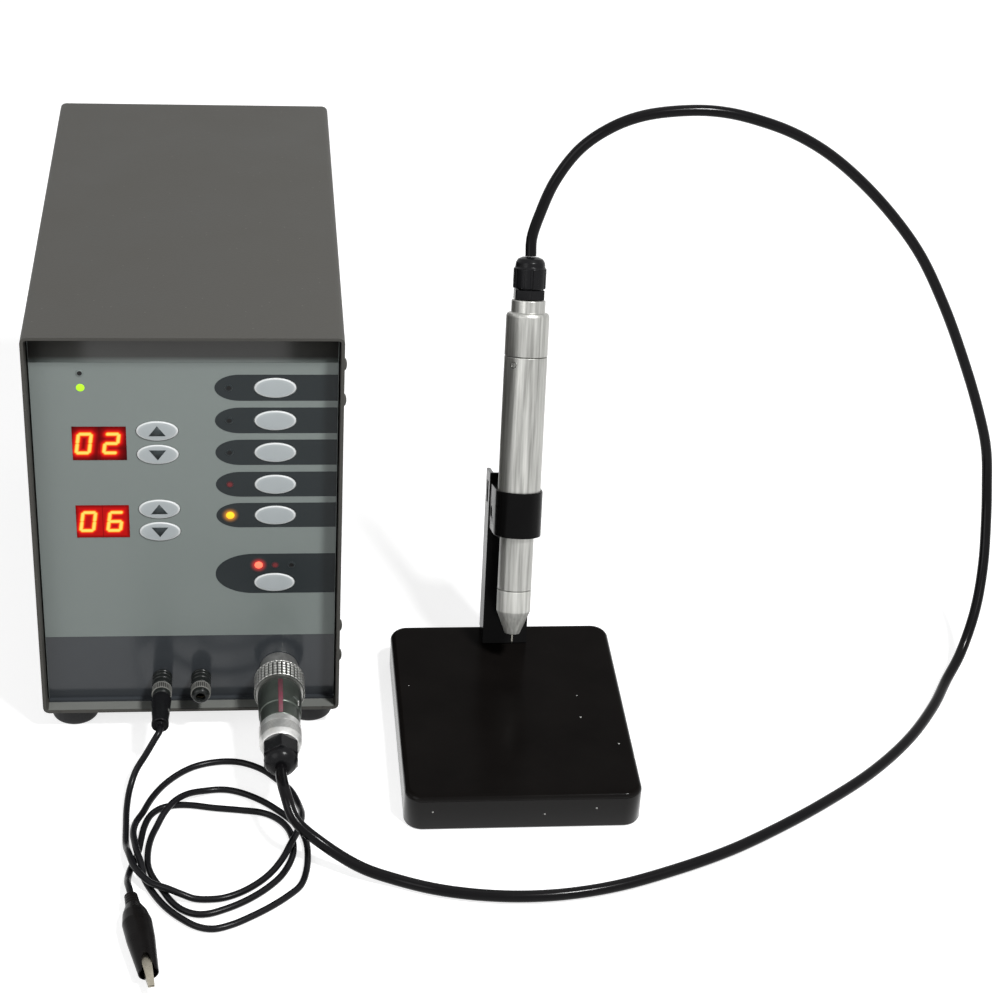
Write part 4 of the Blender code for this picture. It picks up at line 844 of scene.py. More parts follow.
def dressFrontPanel():
    painted(frame["nodes"]["panel_overlay"].data, "panelFilm")
    half = panel["half"]
    for i, z in enumerate(panel["tabs"], 1):
        low, high = z - panel["tabHalf"], z + panel["tabHalf"]
        tab = tabOutline(panel["tabStart"], panel["tabCurve"], low, high)
        holes = [keyHole(*buttons[f"program_button_{i}"]), lampHole(f"lampProgram{i}")]
        flatPrint(f"programTab{i}", tab, holes, "tabPrint")
    holes = [keyHole(*buttons["select_button"])] + [lampHole(f"lampSelect{i}") for i in (1, 2, 3)]
    flatPrint("selectTab", tabOutline(**panel["selectTab"]), holes, "tabPrint")
    strip = [(-half, panel["low"]), (half, panel["low"]), (half, panel["strip"]), (-half, panel["strip"])]
    r = panel["postHole"]
    holes = [ovalOutline(r, r, 32, x, bench["postHeight"]) for x in bench["posts"].values()]
    r = panel["connectorHole"]
    holes.append(ovalOutline(r, r, 48, *bench["connector"]))
    flatPrint("lowerStrip", strip, holes, "stripPrint")
    # The painted shadow of the top lip, a thin sheet on the film: its mark, the share of the shadow's colour, falls
    # from 1 at the lip to 0 at its lower edge.
    x = np.array([-half, half])[:, None]
    z = np.linspace(panel["lipShadow"][0], panel["lipShadow"][-1], 60)[None, :]
    points = np.stack([x + 0 * z, z + 0 * x, panel["lipShadowLift"] + 0 * x * z], -1)
    mesh = gridMesh("lipShadowBand", placed(points, panelBack))
    marked(mesh, np.interp(z, panel["lipShadow"], panel["lipShadowMark"]) * np.ones_like(x))
    lipShadow = finished("lipShadowBand", mesh, "lipShadowPaint", "station")
    thickened(lipShadow, panel["lipShadowThickness"])


def makeKeys():
    # The key's face is an oval dome: rings shrink from the rim to the middle while the face rises from -0.35 to
    # 0.7 mm. Its mark, a painted highlight on the rounded rim, is 1 on the rim and falls to 0 at 0.87 of the key's
    # size.
    wide, high = keyShape["half"]
    ring = np.array(keyShape["rings"])[:, None]
    rise = np.array(keyShape["rise"])[:, None]
    t = around(72)
    for node, (x, z) in buttons.items():
        points = np.stack([x + wide * ring * np.cos(t), z + high * ring * np.sin(t), rise + 0 * t], -1)
        mesh = gridMesh(node + "Key", placed(points, panelBack), False, True)
        rimHighlight = np.clip((ring - keyShape["rimHighlightFrom"]) / keyShape["rimHighlightOver"], 0, 1)
        marked(mesh, rimHighlight * np.ones_like(t))
        finished(node + "Key", tidied(mesh), "keyFace", node, (node,), 60)


def makeArrows():
    for node, up in (("power_up", 1), ("power_down", -1), ("time_up", 1), ("time_down", -1)):
        x, z = buttons[node]
        foot = z - arrow["foot"] * up
        outline = [(x - arrow["half"], foot), (x + arrow["half"], foot), (x, z + arrow["tip"] * up)]
        mesh = outlineMesh(node + "Arrow", outline[::up], arrow["low"], arrow["high"], panelBack)
        finished(node + "Arrow", mesh, "arrowPrint", node)


def makePaintedGlow(name, x, z, look):
    # A painted glow: the lamp's light painted on the print round it. The mark is 1 at the lamp and falls outwards,
    # by the power 2.2 of the share of the way that is left.
    ring = np.linspace(paintedGlow["from"], paintedGlow["to"], 14)[:, None]
    t = around(48)
    points = np.stack([x + ring * np.cos(t), z + ring * np.sin(t), paintedGlow["lift"] + 0 * ring * t], -1)
    mesh = gridMesh(name, placed(points, panelBack), False, True)
    left = np.clip(1 - (ring - paintedGlow["full"]) / paintedGlow["fade"], 0, 1)
    marked(mesh, left ** paintedGlow["power"] * np.ones_like(t))
    thickened(finished(name, mesh, look, "station"), paintedGlow["thickness"])


def makeLamps():
    # A lit lamp is a dome wider than its hole, and may have a painted glow, its light painted on the print round it;
    # an unlit one is a small dark dot in a rim of the print's colour.
    paintedGlows = {"lampGreen": None, "lampAmber": "paintedGlowAmber", "lampRed": "paintedGlowRed"}
    for name, (x, z, look) in lamps.items():
        lit = look in paintedGlows
        if paintedGlows.get(look):
            makePaintedGlow(name + "PaintedGlow", x, z, paintedGlows[look])
        profile = [(r, panel["front"] + y) for r, y in lampShape["dome" if lit else "dot"]]
        rim = None if lit else lampShape["rim"]
        frontTurned(name, profile, x, z, look, "station", segments=32, corner=0.08, ringed=rim)


display = {
    "places": {"display_power": (-40.2, 160.8, "02"), "display_time": (-40.2, 117.8, "06")},
    "size": (24.9, 18.0),
    "digitSpacing": 12.7,
    "digitWidth": 5.9,
    "digitHeight": 10.1,
    "slant": 0.14,
    "stroke": 1.0,
    "set": 0.25,
    "base": {"display_power": (0.03, -0.8), "display_time": (0.36, -0.5)},
    "segments": {"0": "abcdef", "2": "abged", "6": "acdefg"},
    "inset": 0.75,
    "grid": (150, 110),
    "coreFall": 0.26,
    "haze": 0.64,
    "hazeReach": 1.9,
    "edgeLight": 0.6,
    "edgeWidth": 1.6,
    "seamHalf": 0.12,
    "seamLight": 0.7,
    "thickness": 0.4,
    "glow": [
        (0.0, (0.012, 0.0, 0.001)), (0.25, (0.25, 0.001, 0.002)), (0.5, (0.8, 0.01, 0.008)),
        (0.7, (1.0, 0.12, 0.01)), (0.86, (1.0, 0.42, 0.02)), (1.0, (1.0, 0.80, 0.16)),
    ],
}


def segmentEnds():
    # Each segment runs between two points; the ends stop short of the corners.
    w = display["digitWidth"] / 2
    h = display["digitHeight"] / 2
    inset = display["inset"]
    ends = {name: ((-w + inset, z), (w - inset, z)) for name, z in (("a", h), ("d", -h), ("g", 0))}
    ends.update({name: ((x, h - inset), (x, inset)) for name, x in (("b", w), ("f", -w))})
    ends.update({name: ((x, -inset), (x, -h + inset)) for name, x in (("c", w), ("e", -w))})
    return ends


def makeDisplayMaterial():
    # The red filter: the light attribute runs from the dark window through red and orange to yellow.
    material, tree = newMaterial("displayGlow")
    ramp = newNode(tree, "ValToRGB", {"Fac": attributeOutput(tree, "light")})
    elements = ramp.color_ramp.elements
    stops = display["glow"]
    for element, (position, colour) in zip(elements, (stops[0], stops[-1])):
        element.position, element.color = position, (*colour, 1)
    for position, colour in stops[1:-1]:
        elements.new(position).color = (*colour, 1)
    filledNode(tree, tree.nodes["Principled BSDF"], {
        "Emission Color": ramp.outputs["Color"], "Emission Strength": 1.0, "Base Color": (0.01, 0.0, 0.0, 1),
        "Roughness": 0.25, "Specular IOR Level": 0.04,
    })
    return material


def fromSegments(x, z, digits, shift):
    # The distance of each point from the middle line of the nearest lit segment.
    ends = segmentEnds()
    distance = np.full(x.shape, np.inf)
    for k, digit in enumerate(digits):
        middle = (k - 0.5) * display["digitSpacing"] + shift
        u = x - middle - display["slant"] * z
        for letter in display["segments"][digit]:
            (ax, az), (bx, bz) = ends[letter]
            wide, high = bx - ax, bz - az
            along = np.clip(((u - ax) * wide + (z - az) * high) / (wide**2 + high**2), 0, 1)
            distance = np.minimum(distance, np.hypot(u - ax - along * wide, z - az - along * high))
    return distance


def makeDisplays():
    # With d the distance from the nearest segment's middle line and s half the segment's width, the light is
    # 1 - 0.26 (d / s)^3 on the segment and a haze of 0.64 e^(-(d - s) / 1.9) beside it. The window's own light
    # falls to 0.6 of itself at its edge, and the seam between the digits is a little darker.
    finishes["displayGlow"] = makeDisplayMaterial()
    w, h = display["size"]
    columns, rows = display["grid"]
    x, z = np.meshgrid(np.linspace(-w / 2, w / 2, columns), np.linspace(-h / 2, h / 2, rows), indexing="ij")
    border = np.minimum(w / 2 - np.abs(x), h / 2 - np.abs(z))
    edge = display["edgeLight"]
    window = edge + (1 - edge) * np.clip(border / display["edgeWidth"], 0, 1)
    seam = np.where(np.abs(x) < display["seamHalf"], display["seamLight"], 1.0)
    stroke = display["stroke"]
    for node, (cx, cz, digits) in display["places"].items():
        base, shift = display["base"][node]
        distance = fromSegments(x, z, digits, shift)
        core = np.clip(1.0 - display["coreFall"] * (distance / stroke) ** 3, 0, 1)
        haze = display["haze"] * np.exp(-((distance - stroke) / display["hazeReach"]))
        value = np.maximum(np.where(distance <= stroke, core, haze), base * window) * seam
        points = np.stack([cx + x, cz + z, np.full(x.shape, -display["set"])], -1)
        mesh = gridMesh(node + "Face", placed(points, panelBack))
        marked(mesh, value, "light")
        piece = finished(node + "Face", mesh, "displayGlow", "station")
        thickened(piece, display["thickness"], 1)


dressFrontPanel()
makeKeys()
makeArrows()
makeLamps()
makeDisplays()
print("front panel dressed")

# case

case = {
    "bevel": 0.35,
    "rearBevel": 0.25,
    "sharp": 42,
    "depth": 275,
    "liner": ((0.5, 8.8), (12.62, 12.8)),
    "darkSeam": ((6.8, 8.98), (12.84, 14.0)),
    "footAt": (58.5, 16),
    "foot": [
        (0, 15.8), (1.6, 15.6), (3.4, 13.7), (3.4, 12.95), (2.0, 12.95), (2.0, 10.7), (11.6, 10.7),
        (11.6, 2.0), (11.4, 0.9), (10.9, 0.2), (10.2, 0.0), (0, 0.0),
    ],
}


def makeStrip(name, values, look):
    # A thin strip along the panel's lower edge, between two depths and two heights.
    half = panel["half"]
    (near, far), (low, high) = values
    outline = [(-half, near), (half, near), (half, far), (-half, far)]
    mesh = outlineMesh(name, outline, low, high, benchFrame)
    finished(name, mesh, look, "station", smooth=30)


def makeCase():
    finishedCopy("case_cover", "coverPaint", case["bevel"], case["sharp"])
    finishedCopy("base_tray", "coverPaint", case["bevel"], case["sharp"])
    finishedCopy("rear_panel", "coverPaint", case["rearBevel"], case["sharp"])
    # A lighter grey strip along the ledge under the panel.
    makeStrip("lipLiner", case["liner"], "linerPaint")
    # A dark strip along the seam at the panel's foot.
    makeStrip("darkSeamStrip", case["darkSeam"], "stripPrint")
    x, y = case["footAt"]
    for end, along in (("front", y), ("rear", case["depth"] - y)):
        for side, across in (("left", -x), ("right", x)):
            place = benchFrame @ shifted(across, along, 0)
            name = "foot" + end.title() + side.title()
            node = f"foot_{end}_{side}"
            turned(name, case["foot"], place, "footRubber", "station", (node,), corner=0.8, segments=64)


makeCase()
print("case made")

# binding posts, plug and connector

posts = {
    "radius": 4.9,
    "knurls": 30,
    "knurlDepth": 0.3,
    "knurled": (1.6, 5.7, 4.4),
    "tube": [
        (0, 14), (2.3, 14), (2.3, -5.2), (3.2, -5.2), (3.2, 12), (5.2, 12), (5.2, 15.5), (3.2, 15.5), (3.2, 24),
        (0, 24),
    ],
    "collar": [
        (3.2, 5.5), (4.5, 5.5), (4.9, 5.9), (4.9, 7.0), (4.6, 7.3), (4.6, 7.7), (4.9, 8.0), (4.9, 8.7), (3.2, 8.7),
    ],
    "cap": [
        (2.35, -8.45), (3.4, -8.45), (4.1, -7.8), (4.3, -6.5), (4.4, -6.1), (4.4, -1.1), (4.9, -0.8),
        (4.9, 1.6), (4.5, 1.9), (4.5, 2.7), (4.9, 3.0), (4.9, 5.2), (3.5, 5.2), (3.5, -5.4), (2.35, -5.4),
    ],
    "grip": [(4.3, -5.9), (4.9, -5.9), (4.9, -1.4), (4.3, -1.4)],
}
bananaPlug = {
    "profile": [
        (0, -31), (1.8, -31), (1.8, -30.2), (3.7, -30.2), (3.7, -31), (4.25, -30.6), (4.2, -28.4), (3.95, -27.8),
        (4.35, -22), (4.8, -12), (4.85, -10.2), (4.4, -8.8), (2.0, -8.8), (2.0, 9), (1.2, 10), (0, 10),
    ],
    "screw": [(0, 0.35), (1.0, 0.3), (1.35, 0.1), (1.35, -1.0), (0, -1.0)],
    "screwAt": (4.0, -20.5, 1.3),
    "screwTurn": 72,
}
connector = {
    "socket": [
        (0, -10), (9.1, -10), (9.1, -0.7), (9.5, -0.7), (9.5, 8.7), (8, 8.7), (8, 12), (11, 12), (11, 16),
        (8, 16), (8, 22), (0, 22),
    ],
    "ring": [(9.4, -13.2), (11.6, -13.2), (12.4, -13.7), (12.4, -1.9), (11.6, -1.0), (9.4, -1.0)],
    "knurls": 34,
    "knurlDepth": 0.75,
    "knurlPitch": 2.2,
    "knurlSteep": 1.6,
    "knurlRings": 0.7,
    "knurled": (2.4, 13.5, 12.2),
    "body": [
        (0, -48.5), (7, -48.5), (7, -41.5), (9.4, -41.5), (9.8, -41.1), (9.8, -31.9), (10.3, -31.5),
        (10.85, -15.2), (10.4, -14.1), (9.1, -14.1), (9.1, -10.3), (0, -10.3),
    ],
    "clampRing": [
        (7.3, -56.5), (9.2, -56.5), (9.6, -55.4), (10.3, -52.9), (10.3, -42.4), (9.9, -41.8), (7.3, -41.8),
    ],
    "threadDepth": 0.13,
    "threadPitch": 1.0,
    "threaded": (46.6, 52.2, 10.1),
    "gland": {
        "bottom": 49.5, "low": 56.8, "high": 65.5, "top": 71.0,
        "spigot": 7.0, "corner": 9.24, "dome": 8.1, "mouth": 4.4,
    },
    "line": [(9.86, -40.9), (9.86, -32.1), (10.34, -31.7), (10.88, -15.6)],
    "lineHalf": 0.11,
    "lineTurn": 0.03,
    "lineThickness": 0.06,
    "key": [(6.0, -27.0), (8.6, -31.0), (9.2, -30.6), (6.6, -26.6)],
    "keyHeights": (5.4, 8.5),
    "keyCorner": 0.2,
}


def grooved(depth, low, high, least):
    # The surface sinks by depth(u, height) between two heights, where it is past the least radius.
    def relief(u, height, radius):
        inside = (height > low) & (height < high) & (radius > least)
        return np.where(inside, -depth(u, height), 0)
    return relief


def straightKnurl(u, height):
    # Ridges along the axis: |sin| of the angle.
    return posts["knurlDepth"] * np.abs(np.sin(posts["knurls"] * u / 2))


def squareKnurl(u, height):
    # Grooves along the axis (|sin| of the angle) crossed by shallower rings (|sin| of the height).
    steep, rings = connector["knurlSteep"], connector["knurlRings"]
    along = np.clip(steep * np.abs(np.sin(connector["knurls"] * u / 2)), 0, 1)
    across = np.clip(steep * np.abs(np.sin(np.pi * height / connector["knurlPitch"])), 0, 1)
    return connector["knurlDepth"] * (1 - along * (1 - rings + rings * across))


def thread(u, height):
    # Rings whose depth follows the cosine of the height.
    return connector["threadDepth"] * (0.5 + 0.5 * np.cos(2 * np.pi * height / connector["threadPitch"]))


def makePosts():
    z = bench["postHeight"]
    for side, x in bench["posts"].items():
        node, cap, end = "binding_post_" + side, "post_cap_" + side, side.title()
        frontTurned("postTube" + end, posts["tube"], x, z, "brassTube", "station", (node,), segments=48)
        frontTurned("postCollar" + end, posts["collar"], x, z, "capPlastic", "station", segments=64)
        frontTurned("postCap" + end, posts["cap"], x, z, "capPlastic", cap, (cap,), segments=72)
        relief = grooved(straightKnurl, *posts["knurled"])
        frontTurned("postGrip" + end, posts["grip"], x, z, "knurlBand", cap, segments=288, relief=relief, corner=0.15)
    x = bench["posts"]["left"]
    node = "banana_plug"
    plug = frontTurned("bananaPlug", bananaPlug["profile"], x, z, "glandNylon", node, (node,), segments=64)
    right, ahead, up = bananaPlug["screwAt"]
    place = benchFrame @ shifted(x + right, ahead, z + up)
    place = place @ Matrix.Rotation(math.radians(bananaPlug["screwTurn"]), 4, "Y")
    turned("plugScrew", bananaPlug["screw"], place, "brightMetal", node, segments=24, corner=0.1)
    return plug


def makeConnector():
    x, z = bench["connector"]

    def made(name, profile, look, body, node, **values):
        return frontTurned(name, connector[profile], x, z, look, body, (node,), **values)

    made("connectorSocket", "socket", "flangeMetal", "station", "connector_socket", corner=0.5)
    relief = grooved(squareKnurl, *connector["knurled"])
    ring = made(
        "couplingRing", "ring", "knurledMetal", "coupling_ring", "coupling_ring",
        segments=432, relief=relief, spacing=0.22, smooth=60,
    )
    body = made("plugBody", "body", "gunMetal", "station", "plug_body", segments=96)
    relief = grooved(thread, *connector["threaded"])
    clampRing = made(
        "plugClampRing", "clampRing", "threadMetal", "station", "plug_clamp_ring",
        segments=96, relief=relief, spacing=0.2,
    )
    gland = finishedGland("plugGland", frontFrame(x, z), connector["gland"], "plug_gland", "station")
    # The index line and the key follow the body's taper on its upper side.
    radius, y = (np.array(values)[:, None] for values in zip(*connector["line"]))
    angle = np.linspace(-connector["lineHalf"], connector["lineHalf"], 9)[None, :] + connector["lineTurn"]
    points = np.stack([x + radius * np.sin(angle), y + 0 * angle, z + radius * np.cos(angle)], -1)
    mesh = gridMesh("indexLine", placed(points, benchFrame))
    line = finished("indexLine", mesh, "indexRed", "station", smooth=60)
    thickened(line, connector["lineThickness"], 0)
    low, high = connector["keyHeights"]
    place = benchFrame @ shifted(x, 0, z)
    mesh = outlineMesh("plugKey", connector["key"], low, high, place, connector["keyCorner"])
    key = finished("plugKey", mesh, "brightMetal", "station", smooth=30)
    return [ring, body, clampRing, gland, line, key]


def hexRadius(u, corner):
    # The radius of a hexagon at angle u, with its corners eased.
    flat = corner * math.cos(math.pi / 6)
    turn = (u + math.pi / 6) % (math.pi / 3) - math.pi / 6
    return np.minimum(flat / np.cos(turn), corner * 0.985)


def finishedGland(name, place, gland, node, body):
    # A cable gland: a spigot, a hexagon, then a domed nut that closes on the cable. The rows are
    # (height, radius, 1 where the ring is a hexagon).
    bottom, low, high, top = (gland[k] for k in ("bottom", "low", "high", "top"))
    spigot, corner, dome, mouth = (gland[k] for k in ("spigot", "corner", "dome", "mouth"))
    rows = np.array([
        (bottom, 0, 0), (bottom, spigot, 0), (low, spigot, 0), (low, corner * 0.97, 1), (low + 0.25, corner, 1),
        (high - 0.25, corner, 1), (high, corner * 0.97, 1), (high, dome, 0),
        (high + 0.35 * (top - high), dome * 0.985, 0), (high + 0.7 * (top - high), dome * 0.86, 0),
        (top - 0.3, mouth + 0.5, 0), (top, mouth, 0), (top, mouth * 0.6, 0), (top, 0, 0),
    ])
    height, radius, isHex = (rows[:, k][:, None] for k in range(3))
    u = around(144)
    radius = np.where(isHex > 0, hexRadius(u, corner) * (radius / corner), radius + 0 * u)
    points = np.stack([radius * np.cos(u), radius * np.sin(u), height + 0 * u], -1)
    mesh = tidied(gridMesh(name, placed(points, place), False, True))
    return finished(name, mesh, "glandNylon", body, (node,), 35)


plugPiece = makePosts()
plugParts = makeConnector()
print("posts and connector made")

# stand

stand = {
    "x": (101.6, 215.8),
    "y": (-81.8, 60.4),
    "height": 19.5,
    "corner": 9.0,
    "leastCorner": 1.5,
    "fillet": 3.0,
    "topInsets": [6.0, 20.0, 40.0],
}


def makeBase():
    # A rounded rectangle is carried up the side and drawn in over the fillet, then to the middle of the top.
    x0, x1 = stand["x"]
    y0, y1 = stand["y"]
    middle = np.array([(x0 + x1) / 2, (y0 + y1) / 2])
    t = np.linspace(0, np.pi / 2, 13)
    fillet = stand["fillet"]
    top = stand["height"]
    inset = np.concatenate([[1.0, 0.3, 0.0, 0.0], fillet * (1 - np.cos(t)), stand["topInsets"]])
    height = np.concatenate([[0.0, 0.3, 1.0, top - fillet], top - fillet * (1 - np.sin(t)), [top] * 3])
    u = around(256)[0]
    quarter = np.floor(u / (np.pi / 2)).astype(int) % 4
    side = np.array([(1, 1), (-1, 1), (-1, -1), (1, -1)])[quarter]
    rows = []
    for value, z in zip(inset, height):
        half = np.array([(x1 - x0) / 2, (y1 - y0) / 2]) - value
        corner = max(stand["corner"] - value, stand["leastCorner"])
        centre = side * (half - corner)
        ring = middle + centre + corner * np.column_stack([np.cos(u), np.sin(u)])
        rows.append(np.column_stack([ring, np.full(len(u), z)]))
    mesh = tidied(gridMesh("standBase", placed(np.stack(rows), benchFrame), False, True))
    finished("standBase", mesh, "glossBlack", "station", ("stand_base",), 50)


makeBase()
finishedCopy("stand_post", "holderBlack", 0.35)
finishedCopy("ring_holder", "holderBlack", 0.4)
finishedCopy("holder_bolt", "brightMetal", 0.3)
print("stand made")

# handpiece

pen = {
    "nose": [
        (6.3, 33.7), (8.6, 33.7), (8.6, 22.8), (3.75, 10.7), (1.4, 10.6), (1.4, 13.5), (4, 18), (4, 26), (6.3, 26),
    ],
    "barrel": [
        (0, 140), (7.3, 140), (7.3, 152.8), (10.8, 152.8), (10.8, 64.7), (8.6, 64.7), (8.6, 34.0), (6, 34.0),
        (6, 26.3), (4, 26.3), (4, 72), (0, 72),
    ],
    "endCap": [
        (0, 170), (4.3, 170), (4.3, 181), (8.5, 181), (8.5, 174.8), (9.2, 174.8), (10.2, 174.5), (10.8, 173.2),
        (10.8, 153.1), (7, 153.1), (7, 140.3), (0, 140.3),
    ],
    "gland": {
        "bottom": 170.3, "low": 181.3, "high": 186.2, "top": 195.0,
        "spigot": 4.0, "corner": 8.4, "dome": 5.5, "mouth": 5.4,
    },
    "nut": [
        (5.8, 186.5), (7.4, 186.5), (8.2, 187.0), (8.2, 196.6), (7.5, 197.3), (7.3, 199.6), (6.2, 201.4),
        (3.9, 202.4), (0, 202.4), (0, 195.3), (5.8, 195.3),
    ],
    "ribs": 12,
    "ribDepth": 0.35,
    "ribShare": 0.4,
    "ribbed": (187.2, 196.4, 7.9),
    "wire": [(0, 70), (0.55, 70), (0.55, 6.4), (0.2, 5.2), (0, 5.2)],
    "screw": [(0, -0.3), (1.1, -0.3), (1.2, 0.2), (1.75, 0.16), (1.85, -0.6), (1.2, -0.9), (0, -0.9)],
    "screwHoleShade": [(0, 0.02), (1.05, 0.02), (1.05, -0.8), (0, -0.8)],
    "screwHeight": 149.2,
    "screwTurn": -40,
    "screwOut": 10.7,
}


def penRibs(u, height):
    # Flat grooves between the nut's ribs, where the cosine of the turn is high.
    return pen["ribDepth"] * (np.cos(pen["ribs"] * u) > pen["ribShare"])


def makePen():
    def made(name, profile, look, body, node, **values):
        return turned(name, pen[profile], penFrame, look, body, (node,), **values)

    shared = {"segments": 128, "smooth": 60}
    made(
        "penNose", "nose", "noseAluminium", "handpiece_nose", "handpiece_nose",
        segments=96, corner=0.35, smooth=60,
    )
    made("penBarrel", "barrel", "penAluminium", "handpiece", "handpiece_barrel", corner=0.35, **shared)
    made("penEndCap", "endCap", "penAluminium", "handpiece", "handpiece_end_cap", corner=0.5, **shared)
    finishedGland("penGland", penFrame, pen["gland"], "handpiece_gland", "handpiece")
    relief = grooved(penRibs, *pen["ribbed"])
    made(
        "penGlandNut", "nut", "glandNylon", "handpiece", "handpiece_gland_nut",
        segments=192, relief=relief, spacing=0.5, corner=0.4, smooth=40,
    )
    made("electrodeWire", "wire", "wireSteel", "electrode", "electrode", segments=24, corner=0.1)
    turn = Matrix.Rotation(math.radians(pen["screwTurn"]), 4, "Z")
    side = penFrame @ shifted(0, 0, pen["screwHeight"]) @ turn @ shifted(0, -pen["screwOut"], 0) @ turnedDown
    turned("barrelScrew", pen["screw"], side, "brightMetal", "handpiece", segments=32, corner=0.05)
    # A near-black disc in the screw's head: painted shade standing in for the dark of its socket.
    turned("barrelScrewHoleShade", pen["screwHoleShade"], side, "lampDark", "handpiece", segments=24, corner=0.05)


makePen()
print("handpiece made")

# clip

clip = {
    "widening": 1.16,
    "mouthAt": 52.0,
    "mouthHalf": 2.7,
    "mouthLong": 9.5,
    "ribDepth": 0.14,
    "ribPitch": 1.7,
    "outer": [(0, 0), (2.2, 0), (2.6, 0.4), (3.0, 7), (4.8, 12.5), (5.8, 19), (5.5, 30), (4.6, 42), (3.9, 51.5)],
    "inner": [(3.4, 51.5), (3.8, 42), (4.7, 30), (5.1, 19), (4.2, 13), (2.2, 9), (0, 9)],
}


def makeClip():
    # The boot is a turned shell, widened across, whose open end is cut back in a U over the jaws: where the
    # upper wall is nearer the middle than the U, its points are drawn back to the U's edge. The ribs of its
    # neck follow the cosine of the length.
    shape = filled(softened(clip["outer"] + clip["inner"], 0.5, False), 0.4)
    u = around(96)
    radius = shape[:, 0][:, None] + 0 * u
    along = shape[:, 1][:, None] + 0 * u
    ribs = (along > 0.9) & (along < 7.5) & (radius > 2.3)
    radius = radius - clip["ribDepth"] * ribs * (0.5 + 0.5 * np.cos(2 * np.pi * along / clip["ribPitch"]))
    across = clip["widening"] * radius * np.cos(u)
    rise = radius * np.sin(u)
    share = np.clip(1 - (across / clip["mouthHalf"]) ** 2, 0, 1)
    edge = clip["mouthAt"] - clip["mouthLong"] * np.sqrt(share)
    along = np.where((rise > 0.6) & (share > 0), np.minimum(along, edge), along)
    points = np.stack([across, along, rise], -1)
    mesh = tidied(gridMesh("clipBoot", placed(points, clipFrame), False, True))
    boot = finished("clipBoot", mesh, "bootRubber", "station", ("clip_boot",), 60)
    return [boot] + [finishedCopy(node, "jawMetal", 0.12) for node in ("clip_lower_jaw", "clip_upper_jaw")]


clipParts = makeClip()

# rear fittings and the hidden inside


rear = {
    "fuseAt": (40, 271, 44),
    "holder": [(0, 22), (6, 22), (6, -0.3), (8, -0.3), (8, -2.3), (4.6, -2.3), (4.6, 8), (0, 8)],
    "cap": [(0, 7.5), (4.3, 7.5), (4.3, -2.6), (6.6, -2.6), (6.6, -3.4), (6.0, -13.2), (5.2, -14), (0, -14)],
    "ribs": 18,
    "ribDepth": 0.25,
    "ribShare": 0.2,
    "ribbed": (-13.0, -4.2, 5.7),
}
hidden = {
    "front_panel": "coverPaint", "control_board": "boardGreen", "power_board": "boardGreen",
    "display_power": "lampDark", "display_time": "lampDark", "transformer": "coreSteel",
    "capacitor_left": "capPlastic", "capacitor_right": "capPlastic", "collet": "brassTube",
}


def fuseRibs(u, height):
    # Flat grooves between the cap's ribs, where the cosine of the turn is high.
    return rear["ribDepth"] * (np.cos(rear["ribs"] * u) > rear["ribShare"])


def makeRear():
    for node in ("mains_inlet", "power_switch_body"):
        finishedCopy(node, "capPlastic", 0.3)
    finishedCopy("power_rocker", "glandNylon", 0.4, segments=3)
    place = benchFrame @ shifted(*rear["fuseAt"]) @ turnedDown
    turned("fuseHolder", rear["holder"], place, "capPlastic", "station", ("fuse_holder",), segments=64, corner=0.4)
    turned(
        "fuseCap", rear["cap"], place, "glandNylon", "fuse_cap", ("fuse_cap",), segments=216,
        relief=grooved(fuseRibs, *rear["ribbed"]), spacing=0.6, corner=0.4, smooth=40,
    )


def finishInside():
    for node, look in hidden.items():
        painted(frame["nodes"][node].data, look)


makeRear()
finishInside()
print("rear and inside finished")

# floor, light and background

light = {
    "world": 0.2,
    "floor": (0.45, 0.45, 0.45),
    "floorGlow": 0.78,
    "floorHalf": 3.0,
    "floorHeight": -0.0004,
    "key": {"place": (0.75, -1.0, 1.85), "size": 0.32, "power": 52.0},
    "fill": {"place": (-0.9, -0.9, 0.9), "size": 0.9, "power": 5.0},
    "top": {"place": (0.0, 0.4, 1.6), "size": 1.2, "power": 1.7},
}


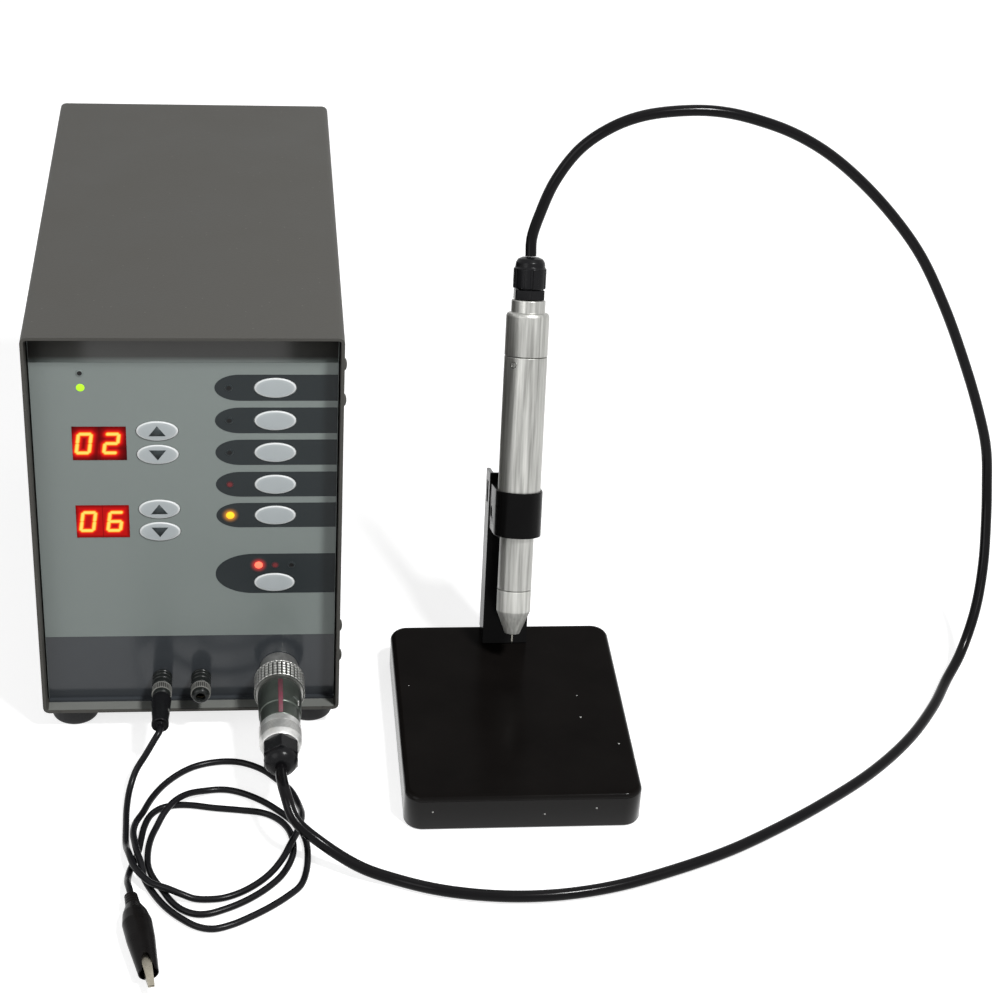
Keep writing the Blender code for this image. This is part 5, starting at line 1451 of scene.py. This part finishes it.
def seenDirectly(tree):
    # 1 where a camera, glossy or transmission ray looks, 0 for the light that falls on things.
    path = newNode(tree, "LightPath").outputs
    seen = worked(tree, "MAXIMUM", path["Is Camera Ray"], path["Is Glossy Ray"])
    return worked(tree, "MAXIMUM", seen, path["Is Transmission Ray"])


def makeWorld():
    world = bpy.data.worlds.new("studio")
    bpy.context.scene.world = world
    world.use_nodes = True
    tree = world.node_tree
    plain = filledNode(tree, tree.nodes["Background"], {"Color": (1, 1, 1, 1), "Strength": light["world"]})
    white = newNode(tree, "Background", {"Color": (1, 1, 1, 1), "Strength": 1})
    mix = newNode(tree, "MixShader", {0: seenDirectly(tree), 1: plain.outputs[0], 2: white.outputs[0]})
    tree.links.new(mix.outputs[0], tree.nodes["World Output"].inputs["Surface"])


def makeFloor():
    half = light["floorHalf"]
    mesh = bpy.data.meshes.new("floor")
    mesh.from_pydata([(-half, -half, 0), (half, -half, 0), (half, half, 0), (-half, half, 0)], [], [(0, 1, 2, 3)])
    floor = addObject("floor", mesh)
    floor.location = (0, 0, light["floorHeight"])
    material, tree = newMaterial("floorWhite")
    surface = {"Base Color": (*light["floor"], 1), "Roughness": 0.9}
    shader = filledNode(tree, tree.nodes["Principled BSDF"], surface).outputs[0]
    white = newNode(tree, "Emission", {"Color": (1, 1, 1, 1), "Strength": light["floorGlow"]})
    both = newNode(tree, "AddShader", {0: shader, 1: white.outputs[0]})
    pick = newNode(tree, "MixShader", {0: seenDirectly(tree), 1: shader, 2: both.outputs[0]})
    tree.links.new(pick.outputs[0], tree.nodes["Material Output"].inputs["Surface"])
    mesh.materials.append(material)


def makeLamp(name, values):
    data = bpy.data.lights.new(name, "AREA")
    data.shape = "DISK"
    data.size = values["size"]
    data.energy = values["power"]
    lamp = addObject(name, data)
    lamp.location = values["place"]
    lamp.rotation_euler = (-lamp.location).to_track_quat("-Z", "Y").to_euler()


makeWorld()
makeFloor()
for name in ("key", "fill", "top"):
    makeLamp(name + "Lamp", light[name])
bpy.context.scene.view_settings.view_transform = "Standard"
print("light set")
